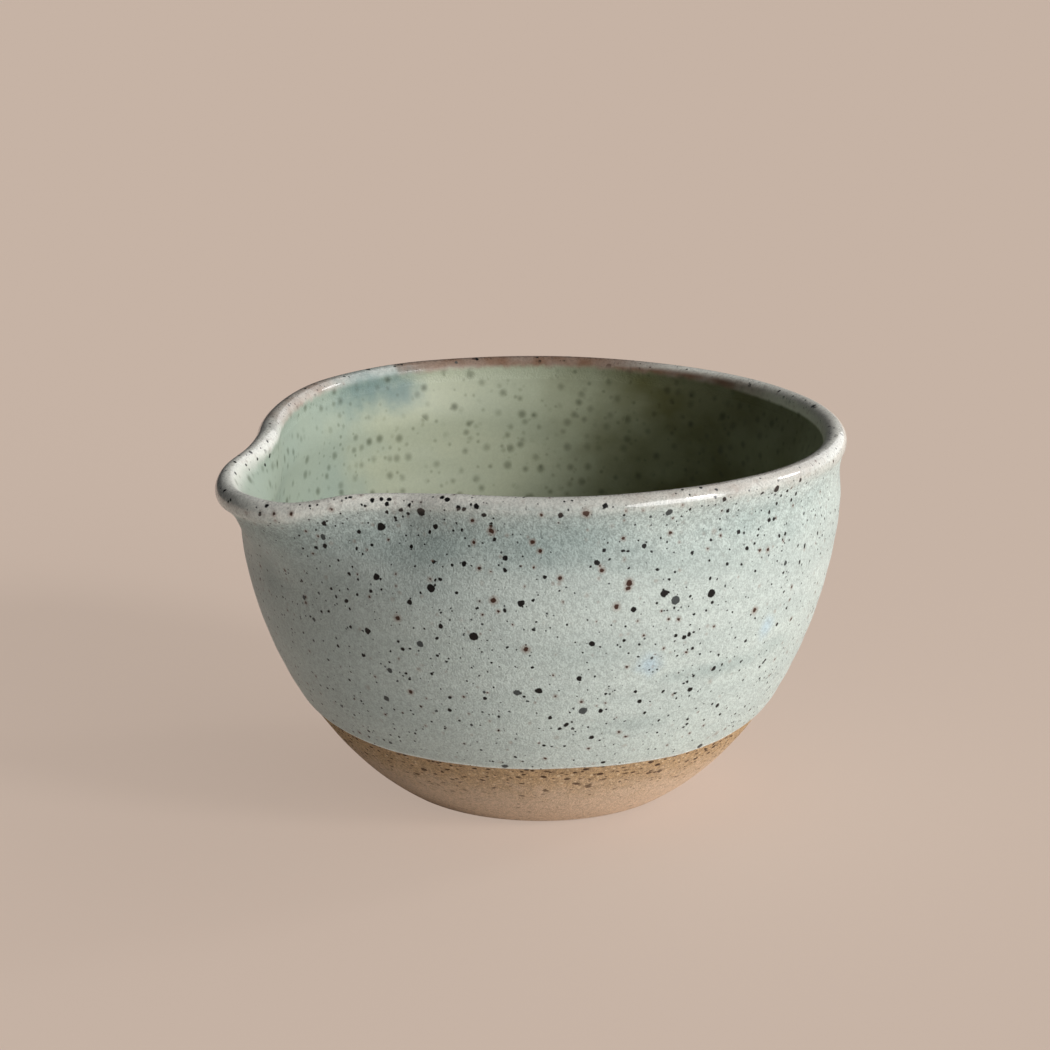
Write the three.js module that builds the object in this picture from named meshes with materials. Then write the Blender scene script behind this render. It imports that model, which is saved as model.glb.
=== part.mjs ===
// Spouted matcha bowl: a thick stoneware bowl thrown on the wheel, with a pouring spout pulled out of
// its soft rim. The fired clay carries three glaze coats: one outside that stops short of the foot,
// a liner inside, and a thin warm coat over the lip, where the other two run out.
// Millimetres, +Z up, origin at the centre of the flat foot, spout towards -X.
import * as THREE from "three";
import { mergeVertices } from "three/addons/utils/BufferGeometryUtils.js";

// Thrown clay
const FOOT_DIAMETER = 58;        // flat that the bowl stands on, to its edge before rounding
const FOOT_ROUNDING = 2;         // length of flat and of wall taken up by the sponged foot edge
const FOOT_FLARE = 30;           // degrees above level at which the wall leaves the foot
const LOWER_SWEEP = 32.5;        // pull of that direction on the lower wall before it turns upright
const UPPER_SWEEP = 10;          // pull of the upright direction on the wall below its widest part
const RIM_DIAMETER = 129.4;      // across the lip at the back and sides
const HEIGHT = 80;               // foot to the top of the lip at the back
const LIP_THICKNESS = 4.1;       // diameter of the rounded lip
const LIP_OVERHANG = 1.1;        // how far the lip stands out past the widest part of the wall
const LIP_UNDERCUT = 30;         // degrees below level at which the lip's round runs into the neck
const NECK_HEIGHT = 14;          // top of the lip down to the widest part of the wall
const NECK_SWEEP = 4;            // easing of the neck at both of its ends
const WALL = 5.4;                // thickness of the wall below the neck
const FLOOR = 6.5;               // thickness of the floor
const FLOOR_EASE = 5;            // height over which the inside wall curves into the floor

// Pulled spout
const SPOUT_REACH = 10.1;        // how far the lip is drawn out past the round of the rim
const SPOUT_SPREAD = 34.6;       // degrees from the middle of the spout to where it leaves the rim
const SPOUT_DROOP = 3.7;         // how far the spout's lip is bent down
const SPOUT_DEPTH = 25;          // height of wall below the lip that follows the pull
const SHOULDER_PINCH = 5.9;      // how far the fingers beside the spout press the rim inwards
const SHOULDER_SPREAD = 97.6;    // degrees from the spout over which the rim is pressed in
const SHOULDER_DROP = 2.4;       // how far the pressed rim sinks towards the spout
const SIDE_SWELL = 1.2;          // how far the wall below the spout bellies out
const SWELL_SPREAD = 150;        // degrees from the spout over which it bellies
const SWELL_HEIGHT = 42;         // height of the fullest part of that belly
const SWELL_DEPTH = 40;          // height below and above it over which the wall bellies

// Glaze coats
const OUTER_GLAZE = 0.6;         // thickness of the outside coat
const LINER_GLAZE = 0.6;         // thickness of the inside coat
const RIM_GLAZE = 0.4;           // thickness of the coat over the lip
const BARE_FOOT = 19;            // height of the unglazed band, from the foot to the glaze line
const RIM_BAND_OUTSIDE = 5;      // depth of the lip's coat below the top of the lip, outside
const RIM_BAND_INSIDE = 4.5;     // and inside

// Facets
const SEGMENTS = 64;             // around the bowl
const SPOUT_CROWDING = 0.4;      // share by which the segments crowd towards the spout
const FOOT_STEPS = 2;            // round the foot edge
const BARE_STEPS = 4;            // up the bare band
const WALL_STEPS = 6;            // up the glazed wall, and down the inside wall
const NECK_STEPS = 3;            // along the neck below the lip's coat
const LIP_STEPS = 6;             // over the lip
const FLOOR_STEPS = 4;           // from the inside wall into the floor
const SAME_POINT = 1e-4;         // points closer than this are one
const TRIANGLE_CORNERS = 3;      // corners of a triangle; a four-sided facet has two triangles

// Finishes, as the fired bowl shows them
const BARE_CLAY = { color: 0xb88f6a, roughness: 0.9, metalness: 0 };
const PALE_CELADON = { color: 0xb4c2b4, roughness: 0.35, metalness: 0 };
const OLIVE_CELADON = { color: 0xaab396, roughness: 0.3, metalness: 0 };
const WARM_CREAM = { color: 0xcdbcaa, roughness: 0.25, metalness: 0 };

const radians = THREE.MathUtils.degToRad;
const point = (radius, height) => new THREE.Vector2(radius, height);
const heading = (degrees) => point(Math.cos(radians(degrees)), Math.sin(radians(degrees)));

// Lines of the thrown section, from the foot up the outside, over the lip and down the inside
const footEdge = point(FOOT_DIAMETER / 2, 0);
const belly = point(RIM_DIAMETER / 2 - LIP_OVERHANG, HEIGHT - NECK_HEIGHT);
const lipRadius = LIP_THICKNESS / 2;
const lipCentre = point(RIM_DIAMETER / 2 - lipRadius, HEIGHT - lipRadius);

const outsideWall = new THREE.CubicBezierCurve(
  footEdge,
  footEdge.clone().addScaledVector(heading(FOOT_FLARE), LOWER_SWEEP),
  point(belly.x, belly.y - UPPER_SWEEP),
  belly,
);
const wallStart = FOOT_ROUNDING / (3 * LOWER_SWEEP);
const footRound = new THREE.QuadraticBezierCurve(
  point(footEdge.x - FOOT_ROUNDING, 0),
  footEdge,
  outsideWall.getPoint(wallStart),
);
const lip = new THREE.EllipseCurve(
  lipCentre.x, lipCentre.y, lipRadius, lipRadius, radians(-LIP_UNDERCUT), Math.PI,
);
const lipStart = lip.getPoint(0);
const lipEnd = lip.getPoint(1);
const outsideNeck = new THREE.CubicBezierCurve(
  belly,
  point(belly.x, belly.y + NECK_SWEEP),
  lipStart.clone().addScaledVector(heading(90 - LIP_UNDERCUT), -NECK_SWEEP),
  lipStart,
);
const insideNeck = new THREE.CubicBezierCurve(
  lipEnd,
  point(lipEnd.x, lipEnd.y - NECK_SWEEP),
  point(belly.x - WALL, belly.y + NECK_SWEEP),
  point(belly.x - WALL, belly.y),
);

// The inside wall lies one wall thickness from the outside one, from the belly down.
class InsideWall extends THREE.Curve {
  getPoint(share) {
    const up = outsideWall.getTangent(1 - share);
    return outsideWall.getPoint(1 - share).add(point(-up.y, up.x).multiplyScalar(WALL));
  }
}

// Share of a rising or falling line at which it crosses a height.
function crossing(line, height) {
  const rising = line.getPoint(1).y > line.getPoint(0).y;
  let before = 0;
  let after = 1;
  while (after - before > SAME_POINT * SAME_POINT) {
    const middle = (before + after) / 2;
    const below = line.getPoint(middle).y < height;
    if (below === rising) before = middle;
    else after = middle;
  }
  return before;
}

const insideWall = new InsideWall();
const floorStart = crossing(insideWall, FLOOR + FLOOR_EASE);
const floorTop = insideWall.getPoint(floorStart);
const floorSlope = outsideWall.getTangent(1 - floorStart);
const easeLength = FLOOR_EASE / floorSlope.y;
const floorCorner = floorTop.clone().addScaledVector(floorSlope, -easeLength);
const floorRound = new THREE.QuadraticBezierCurve(
  floorTop, floorCorner, point(floorCorner.x - easeLength, FLOOR),
);

// Points along a line, and several lines of points joined end to end
function run(line, start, end, steps) {
  return Array.from({ length: steps + 1 }, (_, i) => line.getPoint(start + ((end - start) * i) / steps));
}

function chain(...runs) {
  const points = runs.flat();
  return points.filter((here, i) => i === 0 || here.distanceTo(points[i - 1]) > SAME_POINT);
}

const glazeLine = crossing(outsideWall, BARE_FOOT);
const bandOutside = crossing(outsideNeck, HEIGHT - RIM_BAND_OUTSIDE);
const bandInside = crossing(insideNeck, HEIGHT - RIM_BAND_INSIDE);

const bareClay = chain(
  [point(0, 0)],
  run(footRound, 0, 1, FOOT_STEPS),
  run(outsideWall, wallStart, glazeLine, BARE_STEPS),
);
const glazedOutside = chain(
  run(outsideWall, glazeLine, 1, WALL_STEPS),
  run(outsideNeck, 0, bandOutside, NECK_STEPS),
);
const glazedLip = chain(
  run(outsideNeck, bandOutside, 1, 1),
  run(lip, 0, 1, LIP_STEPS),
  run(insideNeck, 0, bandInside, 1),
);
const glazedInside = chain(
  run(insideNeck, bandInside, 1, NECK_STEPS),
  run(insideWall, 0, floorStart, WALL_STEPS),
  run(floorRound, 0, 1, FLOOR_STEPS),
  [point(0, FLOOR)],
);
const outline = chain(bareClay, glazedOutside, glazedLip, glazedInside);
const outerStart = bareClay.length - 1;
const rimStart = outerStart + glazedOutside.length - 1;
const linerStart = rimStart + glazedLip.length - 1;
const linerEnd = outline.length - 1;

// Direction away from the clay at a point of its outline.
function outward(i) {
  const before = outline[Math.max(i - 1, 0)];
  const after = outline[Math.min(i + 1, outline.length - 1)];
  const along = after.clone().sub(before).normalize();
  return point(along.y, -along.x);
}

// A coat's loop runs along the glaze and back along the clay. It takes its neighbours' thickness at
// its two ends, where the coats run together face to face.
function coatLoop(start, end, thickness, startThickness = thickness, endThickness = thickness) {
  const clay = outline.slice(start, end + 1);
  const skin = clay.map((here, i) => here.clone().addScaledVector(outward(start + i), thickness));
  skin[0] = clay[0].clone().addScaledVector(outward(start), startThickness);
  skin[skin.length - 1] = outline[end].clone().addScaledVector(outward(end), endThickness);
  return [...skin, ...clay.toReversed(), skin[0]];
}

// A smooth hump, 1 in the middle and 0 from one spread away.
function hump(distance, spread) {
  const share = Math.min(Math.abs(distance) / spread, 1);
  return (1 + Math.cos(Math.PI * share)) / 2;
}

// The pull on the soft rim. Clay below the lip follows it less and less, and leans with it, so that
// the wall keeps its thickness; the round of the lip is carried over whole. The grip is the cubic that
// starts from 0 with no slope at the bottom of the pull and reaches 1 with slope 1 at the lip.
function pullSpout(position) {
  const radius = Math.hypot(position.x, position.y);
  const evenAngle = Math.atan2(position.y, -position.x);
  const angle = evenAngle - SPOUT_CROWDING * Math.sin(evenAngle);
  const spout = hump(angle, radians(SPOUT_SPREAD));
  const shoulder = hump(angle, radians(SHOULDER_SPREAD));
  const out = (SPOUT_REACH + SHOULDER_PINCH) * spout - SHOULDER_PINCH * shoulder;
  const down = SPOUT_DROOP * spout + SHOULDER_DROP * shoulder;

  const height = Math.min(position.z, lipCentre.y);
  const share = Math.max(1 - (lipCentre.y - height) / SPOUT_DEPTH, 0);
  const grip = share * share * (2 - share);
  const gripSlope = (share * (4 - 3 * share)) / SPOUT_DEPTH;
  const lean = Math.atan2(out * gripSlope, 1 - down * gripSlope);

  const swell = SIDE_SWELL * hump(angle, radians(SWELL_SPREAD)) * hump(height - SWELL_HEIGHT, SWELL_DEPTH);
  const across = radius - lipCentre.x;
  const above = position.z - height;
  const pulledRadius = lipCentre.x + out * grip + across * Math.cos(lean) + above * Math.sin(lean)
    + swell * (1 - grip) * (radius / lipCentre.x);
  const pulledHeight = height - down * grip - across * Math.sin(lean) + above * Math.cos(lean);
  return position.set(-pulledRadius * Math.cos(angle), pulledRadius * Math.sin(angle), pulledHeight);
}

// One closed solid: the section turned on the wheel, pulled, and its seam and centre closed. Each
// four-sided facet is split along its shorter diagonal, so solids that touch share their facets.
function thrown(name, section, finish) {
  const turned = new THREE.LatheGeometry(section, SEGMENTS).rotateX(Math.PI / 2);
  turned.deleteAttribute("normal");
  turned.deleteAttribute("uv");
  const positions = turned.getAttribute("position");
  const here = new THREE.Vector3();
  for (let i = 0; i < positions.count; i += 1) {
    pullSpout(here.fromBufferAttribute(positions, i));
    positions.setXYZ(i, here.x, here.y, here.z);
  }
  const geometry = mergeVertices(turned, SAME_POINT);
  geometry.setIndex(splitFacets(geometry));
  geometry.computeVertexNormals();
  const mesh = new THREE.Mesh(geometry, new THREE.MeshStandardMaterial(finish));
  mesh.name = name;
  return mesh;
}

// The lathe lists each facet as the triangles a b d and c d b; a facet at the centre has two corners
// in one point, and keeps one triangle.
function splitFacets(geometry) {
  const corners = geometry.getIndex().array;
  const positions = geometry.getAttribute("position");
  const at = (corner) => new THREE.Vector3().fromBufferAttribute(positions, corner);
  const triangles = [];
  for (let i = 0; i < corners.length; i += 2 * TRIANGLE_CORNERS) {
    const [a, b, d, c] = corners.slice(i);
    const alongAC = at(a).distanceToSquared(at(c)) < at(b).distanceToSquared(at(d));
    const halves = alongAC ? [[a, b, c], [a, c, d]] : [[a, b, d], [c, d, b]];
    triangles.push(...halves.filter((half) => new Set(half).size === TRIANGLE_CORNERS));
  }
  return triangles.flat();
}

const bowl = new THREE.Group();
bowl.name = "spouted_matcha_bowl";
bowl.add(
  thrown("stoneware_body", outline, BARE_CLAY),
  thrown("outer_glaze", coatLoop(outerStart, rimStart, OUTER_GLAZE), PALE_CELADON),
  thrown("rim_glaze", coatLoop(rimStart, linerStart, RIM_GLAZE, OUTER_GLAZE, LINER_GLAZE), WARM_CREAM),
  thrown("liner_glaze", coatLoop(linerStart, linerEnd, LINER_GLAZE), OLIVE_CELADON),
);

export default bowl;
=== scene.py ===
"""Look of the spouted matcha bowl: thrown stoneware with a bare foot, a speckled celadon coat outside, a
warm lip and an olive liner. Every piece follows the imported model's section and spout, in metres."""
import math
from functools import cache, reduce
from itertools import accumulate
from typing import NamedTuple

import bpy
from bpy.props import FloatProperty, FloatVectorProperty, IntProperty, PointerProperty
from mathutils import Color, Matrix, Vector
from mathutils.bvhtree import BVHTree


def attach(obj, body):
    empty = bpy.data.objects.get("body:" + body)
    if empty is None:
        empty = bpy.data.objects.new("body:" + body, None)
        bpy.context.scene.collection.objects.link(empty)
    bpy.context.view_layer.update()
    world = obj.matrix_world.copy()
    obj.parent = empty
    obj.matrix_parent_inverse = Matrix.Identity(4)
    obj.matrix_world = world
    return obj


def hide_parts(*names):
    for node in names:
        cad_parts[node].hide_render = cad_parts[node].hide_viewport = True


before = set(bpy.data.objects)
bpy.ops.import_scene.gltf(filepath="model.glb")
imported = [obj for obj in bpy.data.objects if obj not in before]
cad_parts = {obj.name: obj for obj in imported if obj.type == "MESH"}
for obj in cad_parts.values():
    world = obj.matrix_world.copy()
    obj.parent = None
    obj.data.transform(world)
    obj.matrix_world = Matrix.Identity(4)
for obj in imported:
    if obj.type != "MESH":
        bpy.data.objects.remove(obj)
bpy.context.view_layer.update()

bl_info = {
    "name": "Spouted Matcha Bowl",
    "version": (1, 0, 0),
    "blender": (4, 5, 0),
    "location": "3D View > Sidebar > Bowl",
    "description": "Throws, glazes and stages a stoneware matcha bowl with a pulled spout",
    "category": "Object",
}

BODY = "root"
MM = 0.001
WHITE = 255

# Facets round the bowl, mesh spacing along the section and samples that a line is measured with
SEGMENTS = 320
LINE_SAMPLES = 400
BARE_STEP = 0.0005
COAT_STEP = 0.0005
LIP_STEP = 0.0003
HIDDEN_STEP = 0.0014

# How far the clay keeps its fine mesh behind the coat at the glaze line
BARE_MARGIN = 0.003

# Points closer than this become one, and a fold sharper than this shows as an edge
WELD = 0.000002
SHARP_FOLD = math.radians(50)

# Less than any step along a line
TINY = WELD * WELD

# Outside coat at the glaze line: the roll of its edge, how much thinner it is there and over what height, and
# the height over which it follows the line's rise
ROLL_WIDTH = 0.0007
THIN_SHARE = 0.35
THIN_REACH = 0.006
LINE_HOLD = 0.016

# Height over which the lip's coat takes on the thickness of the coats next to it
LIP_EASE = 0.003

# Noise round the bowl lies on a drum: its radius in millimetres, how fast it climbs with the wall, and the
# levels that the glaze line and the lip take theirs from
DRUM_RADIUS = 60
DRUM_CLIMB = 0.9
LINE_LEVEL = 7.0
SWAY_LEVEL = -31.0

# Width of that noise's lumps in millimetres
WANDER_SIZE = 45
PRESSURE_SIZE = 26
LINE_SIZE = 21
SWAY_SIZE = 38

# Noise at which the fingers press not at all and fully, and how far the rings drift with the wall's wander
PRESSURE_RANGE = (0.3, 0.75)
RING_DRIFT = 0.9

# The wheel's marks fade towards the lip and the foot, and the lip's wander fades down the wall
RINGS_END = 0.003
RINGS_FULL = 0.012
FOOT_STILL = 0.001
FOOT_FREE = 0.006
SWAY_FULL = 0.004
SWAY_END = 0.02

# Names of the attributes that the coats' colours follow
FROM_LIP = "from_lip"
LIFT_OUT = "lift_out"
LIFT_UP = "lift_up"


def length(name, description, default):
    """A length in metres that a user can change."""
    return FloatProperty(name=name, description=description, default=default, unit="LENGTH", precision=5)


def turn(name, description, degrees):
    """An angle that a user can change."""
    return FloatProperty(name=name, description=description, default=math.radians(degrees), subtype="ANGLE")


def amount(name, description, default):
    """A plain number that a user can change."""
    return FloatProperty(name=name, description=description, default=default, min=0)


def tint(name, description, red, green, blue):
    """A colour as a screen shows it, from 0 to 255 a channel."""
    default = [channel / WHITE for channel in (red, green, blue)]
    return FloatVectorProperty(
        name=name, description=description, default=default, size=3, min=0, max=1, subtype="COLOR_GAMMA"
    )


class BowlSizes(bpy.types.PropertyGroup):
    """Sizes of the thrown clay, its spout and its coats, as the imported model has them."""

    foot_diameter: length("Foot diameter", "Flat that the bowl stands on, before its edge is rounded", 0.058)
    foot_rounding: length("Foot rounding", "Length taken up by the sponged foot edge", 0.002)
    foot_flare: turn("Foot flare", "Angle above level at which the wall leaves the foot", 30)
    lower_sweep: length("Lower sweep", "Pull of the flare on the lower wall", 0.0325)
    upper_sweep: length("Upper sweep", "Pull of the upright on the wall below its widest part", 0.01)
    rim_diameter: length("Rim diameter", "Across the lip at the back and sides", 0.1294)
    height: length("Height", "Foot to the top of the lip at the back", 0.08)
    lip_thickness: length("Lip thickness", "Diameter of the rounded lip", 0.0041)
    lip_overhang: length("Lip overhang", "How far the lip stands out past the wall", 0.0011)
    lip_undercut: turn("Lip undercut", "Angle below level at which the lip runs into the neck", 30)
    neck_height: length("Neck height", "Top of the lip down to the widest part of the wall", 0.014)
    neck_sweep: length("Neck sweep", "Easing of the neck at both ends", 0.004)
    wall: length("Wall", "Thickness of the wall below the neck", 0.0054)
    floor: length("Floor", "Thickness of the floor", 0.0065)
    floor_ease: length("Floor ease", "Height over which the inside wall curves into the floor", 0.005)

    spout_reach: length("Spout reach", "How far the lip is drawn out past the rim", 0.0101)
    spout_spread: turn("Spout spread", "Angle from the spout's middle to where it leaves the rim", 34.6)
    spout_droop: length("Spout droop", "How far the spout's lip is bent down", 0.0037)
    spout_depth: length("Spout depth", "Height of wall below the lip that follows the pull", 0.025)
    shoulder_pinch: length("Shoulder pinch", "How far the rim beside the spout is pressed in", 0.0059)
    shoulder_spread: turn("Shoulder spread", "Angle from the spout over which it is pressed in", 97.6)
    shoulder_drop: length("Shoulder drop", "How far the pressed rim sinks", 0.0024)
    far_dip: length("Far dip", "How far the rim dips next to the spout, on its far side", 0.0008)
    far_dip_turn: turn("Far dip turn", "Angle from the spout's middle to the far dip", 23)
    far_dip_spread: turn("Far dip spread", "Angle over which the far dip fades", 11)
    back_dip: length("Back dip", "How far the rim dips behind the far dip", 0.00085)
    back_dip_turn: turn("Back dip turn", "Angle from the spout's middle to the back dip", 42)
    back_dip_spread: turn("Back dip spread", "Angle over which the back dip fades", 30)
    near_dip: length("Near dip", "How far the rim dips next to the spout, on its near side", 0.00085)
    near_dip_turn: turn("Near dip turn", "Angle from the spout's middle to the near dip", -11)
    near_dip_spread: turn("Near dip spread", "Angle over which the near dip fades", 10)
    side_dip: length("Side dip", "How far the rim dips beside the near dip", 0.00065)
    side_dip_turn: turn("Side dip turn", "Angle from the spout's middle to the side dip", -31)
    side_dip_spread: turn("Side dip spread", "Angle over which the side dip fades", 12)
    side_swell: length("Side swell", "How far the wall below the spout bellies out", 0.0012)
    swell_spread: turn("Swell spread", "Angle from the spout over which it bellies", 150)
    swell_height: length("Swell height", "Height of the fullest part of the belly", 0.042)
    swell_depth: length("Swell depth", "Height over which the wall bellies", 0.04)

    outer_glaze: length("Outside coat", "Thickness of the outside coat", 0.0006)
    liner_glaze: length("Liner", "Thickness of the inside coat", 0.0006)
    rim_glaze: length("Lip coat", "Thickness of the coat over the lip", 0.0004)
    bare_foot: length("Bare foot", "Height of the glaze line above the foot", 0.019)
    rim_band_outside: length("Lip band outside", "Depth of the lip's coat outside", 0.005)
    rim_band_inside: length("Lip band inside", "Depth of the lip's coat inside", 0.0045)

    segments: IntProperty(name="Segments", description="Facets around the bowl", default=SEGMENTS, min=32)
    ring_depth: length("Throwing rings", "Depth of the marks that fingers leave on the wheel", 0.00004)
    ring_pitch: length("Ring pitch", "Rise of the fingers in one turn of the wheel", 0.0062)
    unevenness: length("Unevenness", "How far the wall wanders from a true round", 0.0002)
    lip_wander: length("Lip wander", "How far the lip rises and falls", 0.0003)
    line_wander: length("Line wander", "How far the glaze line rises and falls", 0.0007)
    line_rise: length("Line rise", "How much higher the glaze line is away from where the coat ran", 0.0038)
    run_turn: turn("Run turn", "Angle from the spout to the middle of the run", -57.3)
    run_start: turn("Run start", "Angle from the middle of the run at which the line starts to rise", 34)
    run_end: turn("Run end", "Angle from the middle of the run at which the line is highest", 84)


class BowlFinish(bpy.types.PropertyGroup):
    """Colours of the fired clay and the coats, as a screen shows them."""

    clay: tint("Clay", "Bare fired stoneware", 208, 178, 150)
    clay_smooth: tint("Smooth clay", "Bare stoneware where the sponge has smoothed it", 212, 185, 161)
    clay_flash: tint("Flashing", "Orange blush of the clay next to the glaze", 178, 144, 104)
    clay_pale: tint("Grog", "Pale grains in the clay", 228, 200, 164)
    clay_iron: tint("Clay iron", "Dark iron grains in the clay", 66, 42, 30)
    celadon: tint("Celadon", "Body of the outside coat", 200, 207, 200)
    celadon_blue: tint("Celadon blue", "Where the outside coat hangs thick", 160, 173, 168)
    celadon_pale: tint("Celadon pale", "Where the outside coat lies thin and milky", 208, 215, 206)
    celadon_spot: tint("Celadon spot", "Blue spots in the outside coat", 188, 206, 214)
    # The white edge is a painted highlight on the rolled edge of the coat
    celadon_edge_highlight: tint("Celadon edge", "Edge of the outside coat at the glaze line", 236, 239, 232)
    iron: tint("Iron", "Iron specks that came through the coat", 16, 14, 14)
    iron_under: tint("Iron below", "Iron specks that stay under the coat", 74, 78, 77)
    rust: tint("Rust", "Stain round an iron speck", 142, 112, 96)
    rust_core: tint("Rust core", "Rusty iron speck", 66, 42, 32)
    cream: tint("Cream", "Lip where the coat breaks over the edge", 219, 218, 209)
    lip_pale_lit: tint("Pale lip", "Lip of the spout and beside it, where the coat is milky", 252, 249, 238)
    # Paler lip beside the spout and on the far side: painted light where light falls on the lip
    lip_brown: tint("Lip brown", "Lip where the clay shows through the coat", 131, 99, 78)
    liner: tint("Liner", "Body of the inside coat", 180, 184, 159)
    liner_blue: tint("Liner blue", "Inside coat by the spout", 155, 168, 155)
    liner_teal: tint("Liner teal", "Where the inside coat pools under the lip", 108, 131, 128)
    # Dark olive on the inside's far side: partly the coat's own tone, partly painted shade of the far wall
    liner_olive_shade: tint("Liner olive", "Inside coat on the far side", 92, 88, 42)
    liner_spot: tint("Liner spot", "Soft iron spots in the inside coat", 168, 170, 160)


class StageLook(bpy.types.PropertyGroup):
    """Camera, light and floor round the bowl."""

    distance: length("Distance", "Level distance from the bowl's axis to the camera", 0.65)
    height: length("Height", "Height of the camera", 0.23735)
    azimuth: turn("Azimuth", "Angle of the camera round the bowl", -32.7)
    yaw: turn("Yaw", "Turn of the camera away from the axis", 0.277)
    pitch: turn("Pitch", "Tilt of the camera below level", 15.506)
    roll: turn("Roll", "Turn of the camera about its view", 0.5375)
    lens: FloatProperty(name="Lens", description="Focal length in millimetres", default=107.46, min=1)
    floor: tint("Floor", "Pale floor and backdrop", 197, 178, 164)
    bounce: tint("Bounce", "Light that the floor throws back at the bowl", 236, 233, 229)
    floor_reach: length("Floor reach", "Half the width of the floor", 6.0)
    bounce_start: length("Bounce start", "Distance from the axis where the floor's light starts to fade", 0.1)
    bounce_end: length("Bounce end", "Distance from the axis where the floor's light has faded", 0.7)
    shade: amount("Shade", "How much of the bowl's shadow the floor shows", 0.22)
    sky: amount("Sky", "Strength of the light from all round", 0.04)
    key: amount("Key", "Strength of the main light", 1.96)
    key_azimuth: turn("Key azimuth", "Angle of the main light round the bowl", 14)
    key_height: turn("Key height", "Angle of the main light above level", 13)
    key_size: turn("Key size", "Angle that the main light spans", 45)
    spark: amount("Spark", "Strength of the small light that the lip mirrors", 1.2)
    spark_azimuth: turn("Spark azimuth", "Angle of the small light round the bowl", 28)
    spark_height: turn("Spark height", "Angle of the small light above level", 26)
    spark_size: turn("Spark size", "Angle that the small light spans", 14)
    glint: amount("Glint", "Strength of the smallest light, at the side", 0.42)
    glint_azimuth: turn("Glint azimuth", "Angle of the smallest light round the bowl", 80)
    glint_height: turn("Glint height", "Angle of the smallest light above level", 25)
    glint_size: turn("Glint size", "Angle that the smallest light spans", 11)
    back: amount("Back", "Strength of the light from behind", 1.42)
    back_azimuth: turn("Back azimuth", "Angle of the light from behind round the bowl", 85)
    back_height: turn("Back height", "Angle of the light from behind above level", 20)
    back_size: turn("Back size", "Angle that the light from behind spans", 90)


class Field:
    """A value in a node tree. Each sum it takes part in adds a Math node."""

    def __init__(self, nodes, socket):
        self.nodes = nodes
        self.socket = socket

    def __add__(self, other):
        return self.nodes.math("ADD", self, other)

    def __sub__(self, other):
        return self.nodes.math("SUBTRACT", self, other)

    def __mul__(self, other):
        return self.nodes.math("MULTIPLY", self, other)

    def __truediv__(self, other):
        return self.nodes.math("DIVIDE", self, other)

    def __rsub__(self, other):
        return self.nodes.math("SUBTRACT", other, self)

    def __rtruediv__(self, other):
        return self.nodes.math("DIVIDE", other, self)

    def __neg__(self):
        return self.nodes.math("MULTIPLY", self, -1)

    __radd__ = __add__
    __rmul__ = __mul__


class Nodes:
    """Lays nodes into one tree and links them as they are made."""

    COLUMNS = 16
    ACROSS = 190
    DOWN = 260

    # A Mix node's sockets for the share and the two colours, and for the mixed colour
    MIX_INPUTS = (0, 6, 7)
    MIX_OUTPUT = 2

    def __init__(self, tree):
        self.tree = tree

    def add(self, kind, inputs=None, **settings):
        """A new node, with settings and then inputs that are values, sockets or fields."""
        node = self.tree.nodes.new(kind)
        row, column = divmod(len(self.tree.nodes), self.COLUMNS)
        node.location = (column * self.ACROSS, -row * self.DOWN)
        for name, value in settings.items():
            setattr(node, name, value)
        for name, value in (inputs or {}).items():
            self.feed(node.inputs[name], value)
        return node

    def feed(self, socket, value):
        """Links a field or socket, or sets a plain value."""
        if isinstance(value, Field):
            value = value.socket
        if isinstance(value, bpy.types.NodeSocket):
            self.tree.links.new(value, socket)
        else:
            socket.default_value = value

    def field(self, node, output=0):
        """A node's output as a value to reckon with."""
        return Field(self, node.outputs[output])

    def math(self, operation, *values):
        """A Math node on one to three values."""
        return self.field(self.add("ShaderNodeMath", dict(enumerate(values)), operation=operation))

    def most(self, *values):
        """The largest of some values."""
        return reduce(lambda first, second: self.math("MAXIMUM", first, second), values)

    def smooth(self, value, start, end):
        """0 at start and 1 at end, with a smooth step between."""
        steps = {"Value": value, "From Min": start, "From Max": end}
        return self.field(self.add("ShaderNodeMapRange", steps, interpolation_type="SMOOTHSTEP"))

    def within(self, value, span):
        """1 where a span is full and 0 outside it, with smooth steps between."""
        return self.smooth(value, span.start, span.full) * self.smooth(value, span.gone, span.fading)

    def combine(self, x, y, z):
        """A vector from three values."""
        return self.field(self.add("ShaderNodeCombineXYZ", {"X": x, "Y": y, "Z": z}))

    def separate(self, vector):
        """The three values of a vector."""
        node = self.add("ShaderNodeSeparateXYZ", {"Vector": vector})
        return [self.field(node, axis) for axis in "XYZ"]

    def vector(self, operation, *values, output=0):
        """A Vector Math node."""
        node = self.add("ShaderNodeVectorMath", operation=operation)
        for socket, value in zip(node.inputs, values):
            self.feed(socket, value)
        return self.field(node, output)

    def scale(self, vector, factor):
        """A vector times a number."""
        node = self.add("ShaderNodeVectorMath", {"Vector": vector, "Scale": factor}, operation="SCALE")
        return self.field(node)

    def noise(self, vector, size, detail=2.0, output="Fac"):
        """Noise whose lumps are about size across, in the vector's own unit."""
        inputs = {"Vector": vector, "Scale": 1 / size, "Detail": detail}
        return self.field(self.add("ShaderNodeTexNoise", inputs), output)

    def mix(self, share, first, second, blend="MIX"):
        """One colour mixed into another by a share."""
        node = self.add("ShaderNodeMix", data_type="RGBA", blend_type=blend)
        for index, value in zip(self.MIX_INPUTS, (share, first, second)):
            self.feed(node.inputs[index], value)
        return self.field(node, self.MIX_OUTPUT)


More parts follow.
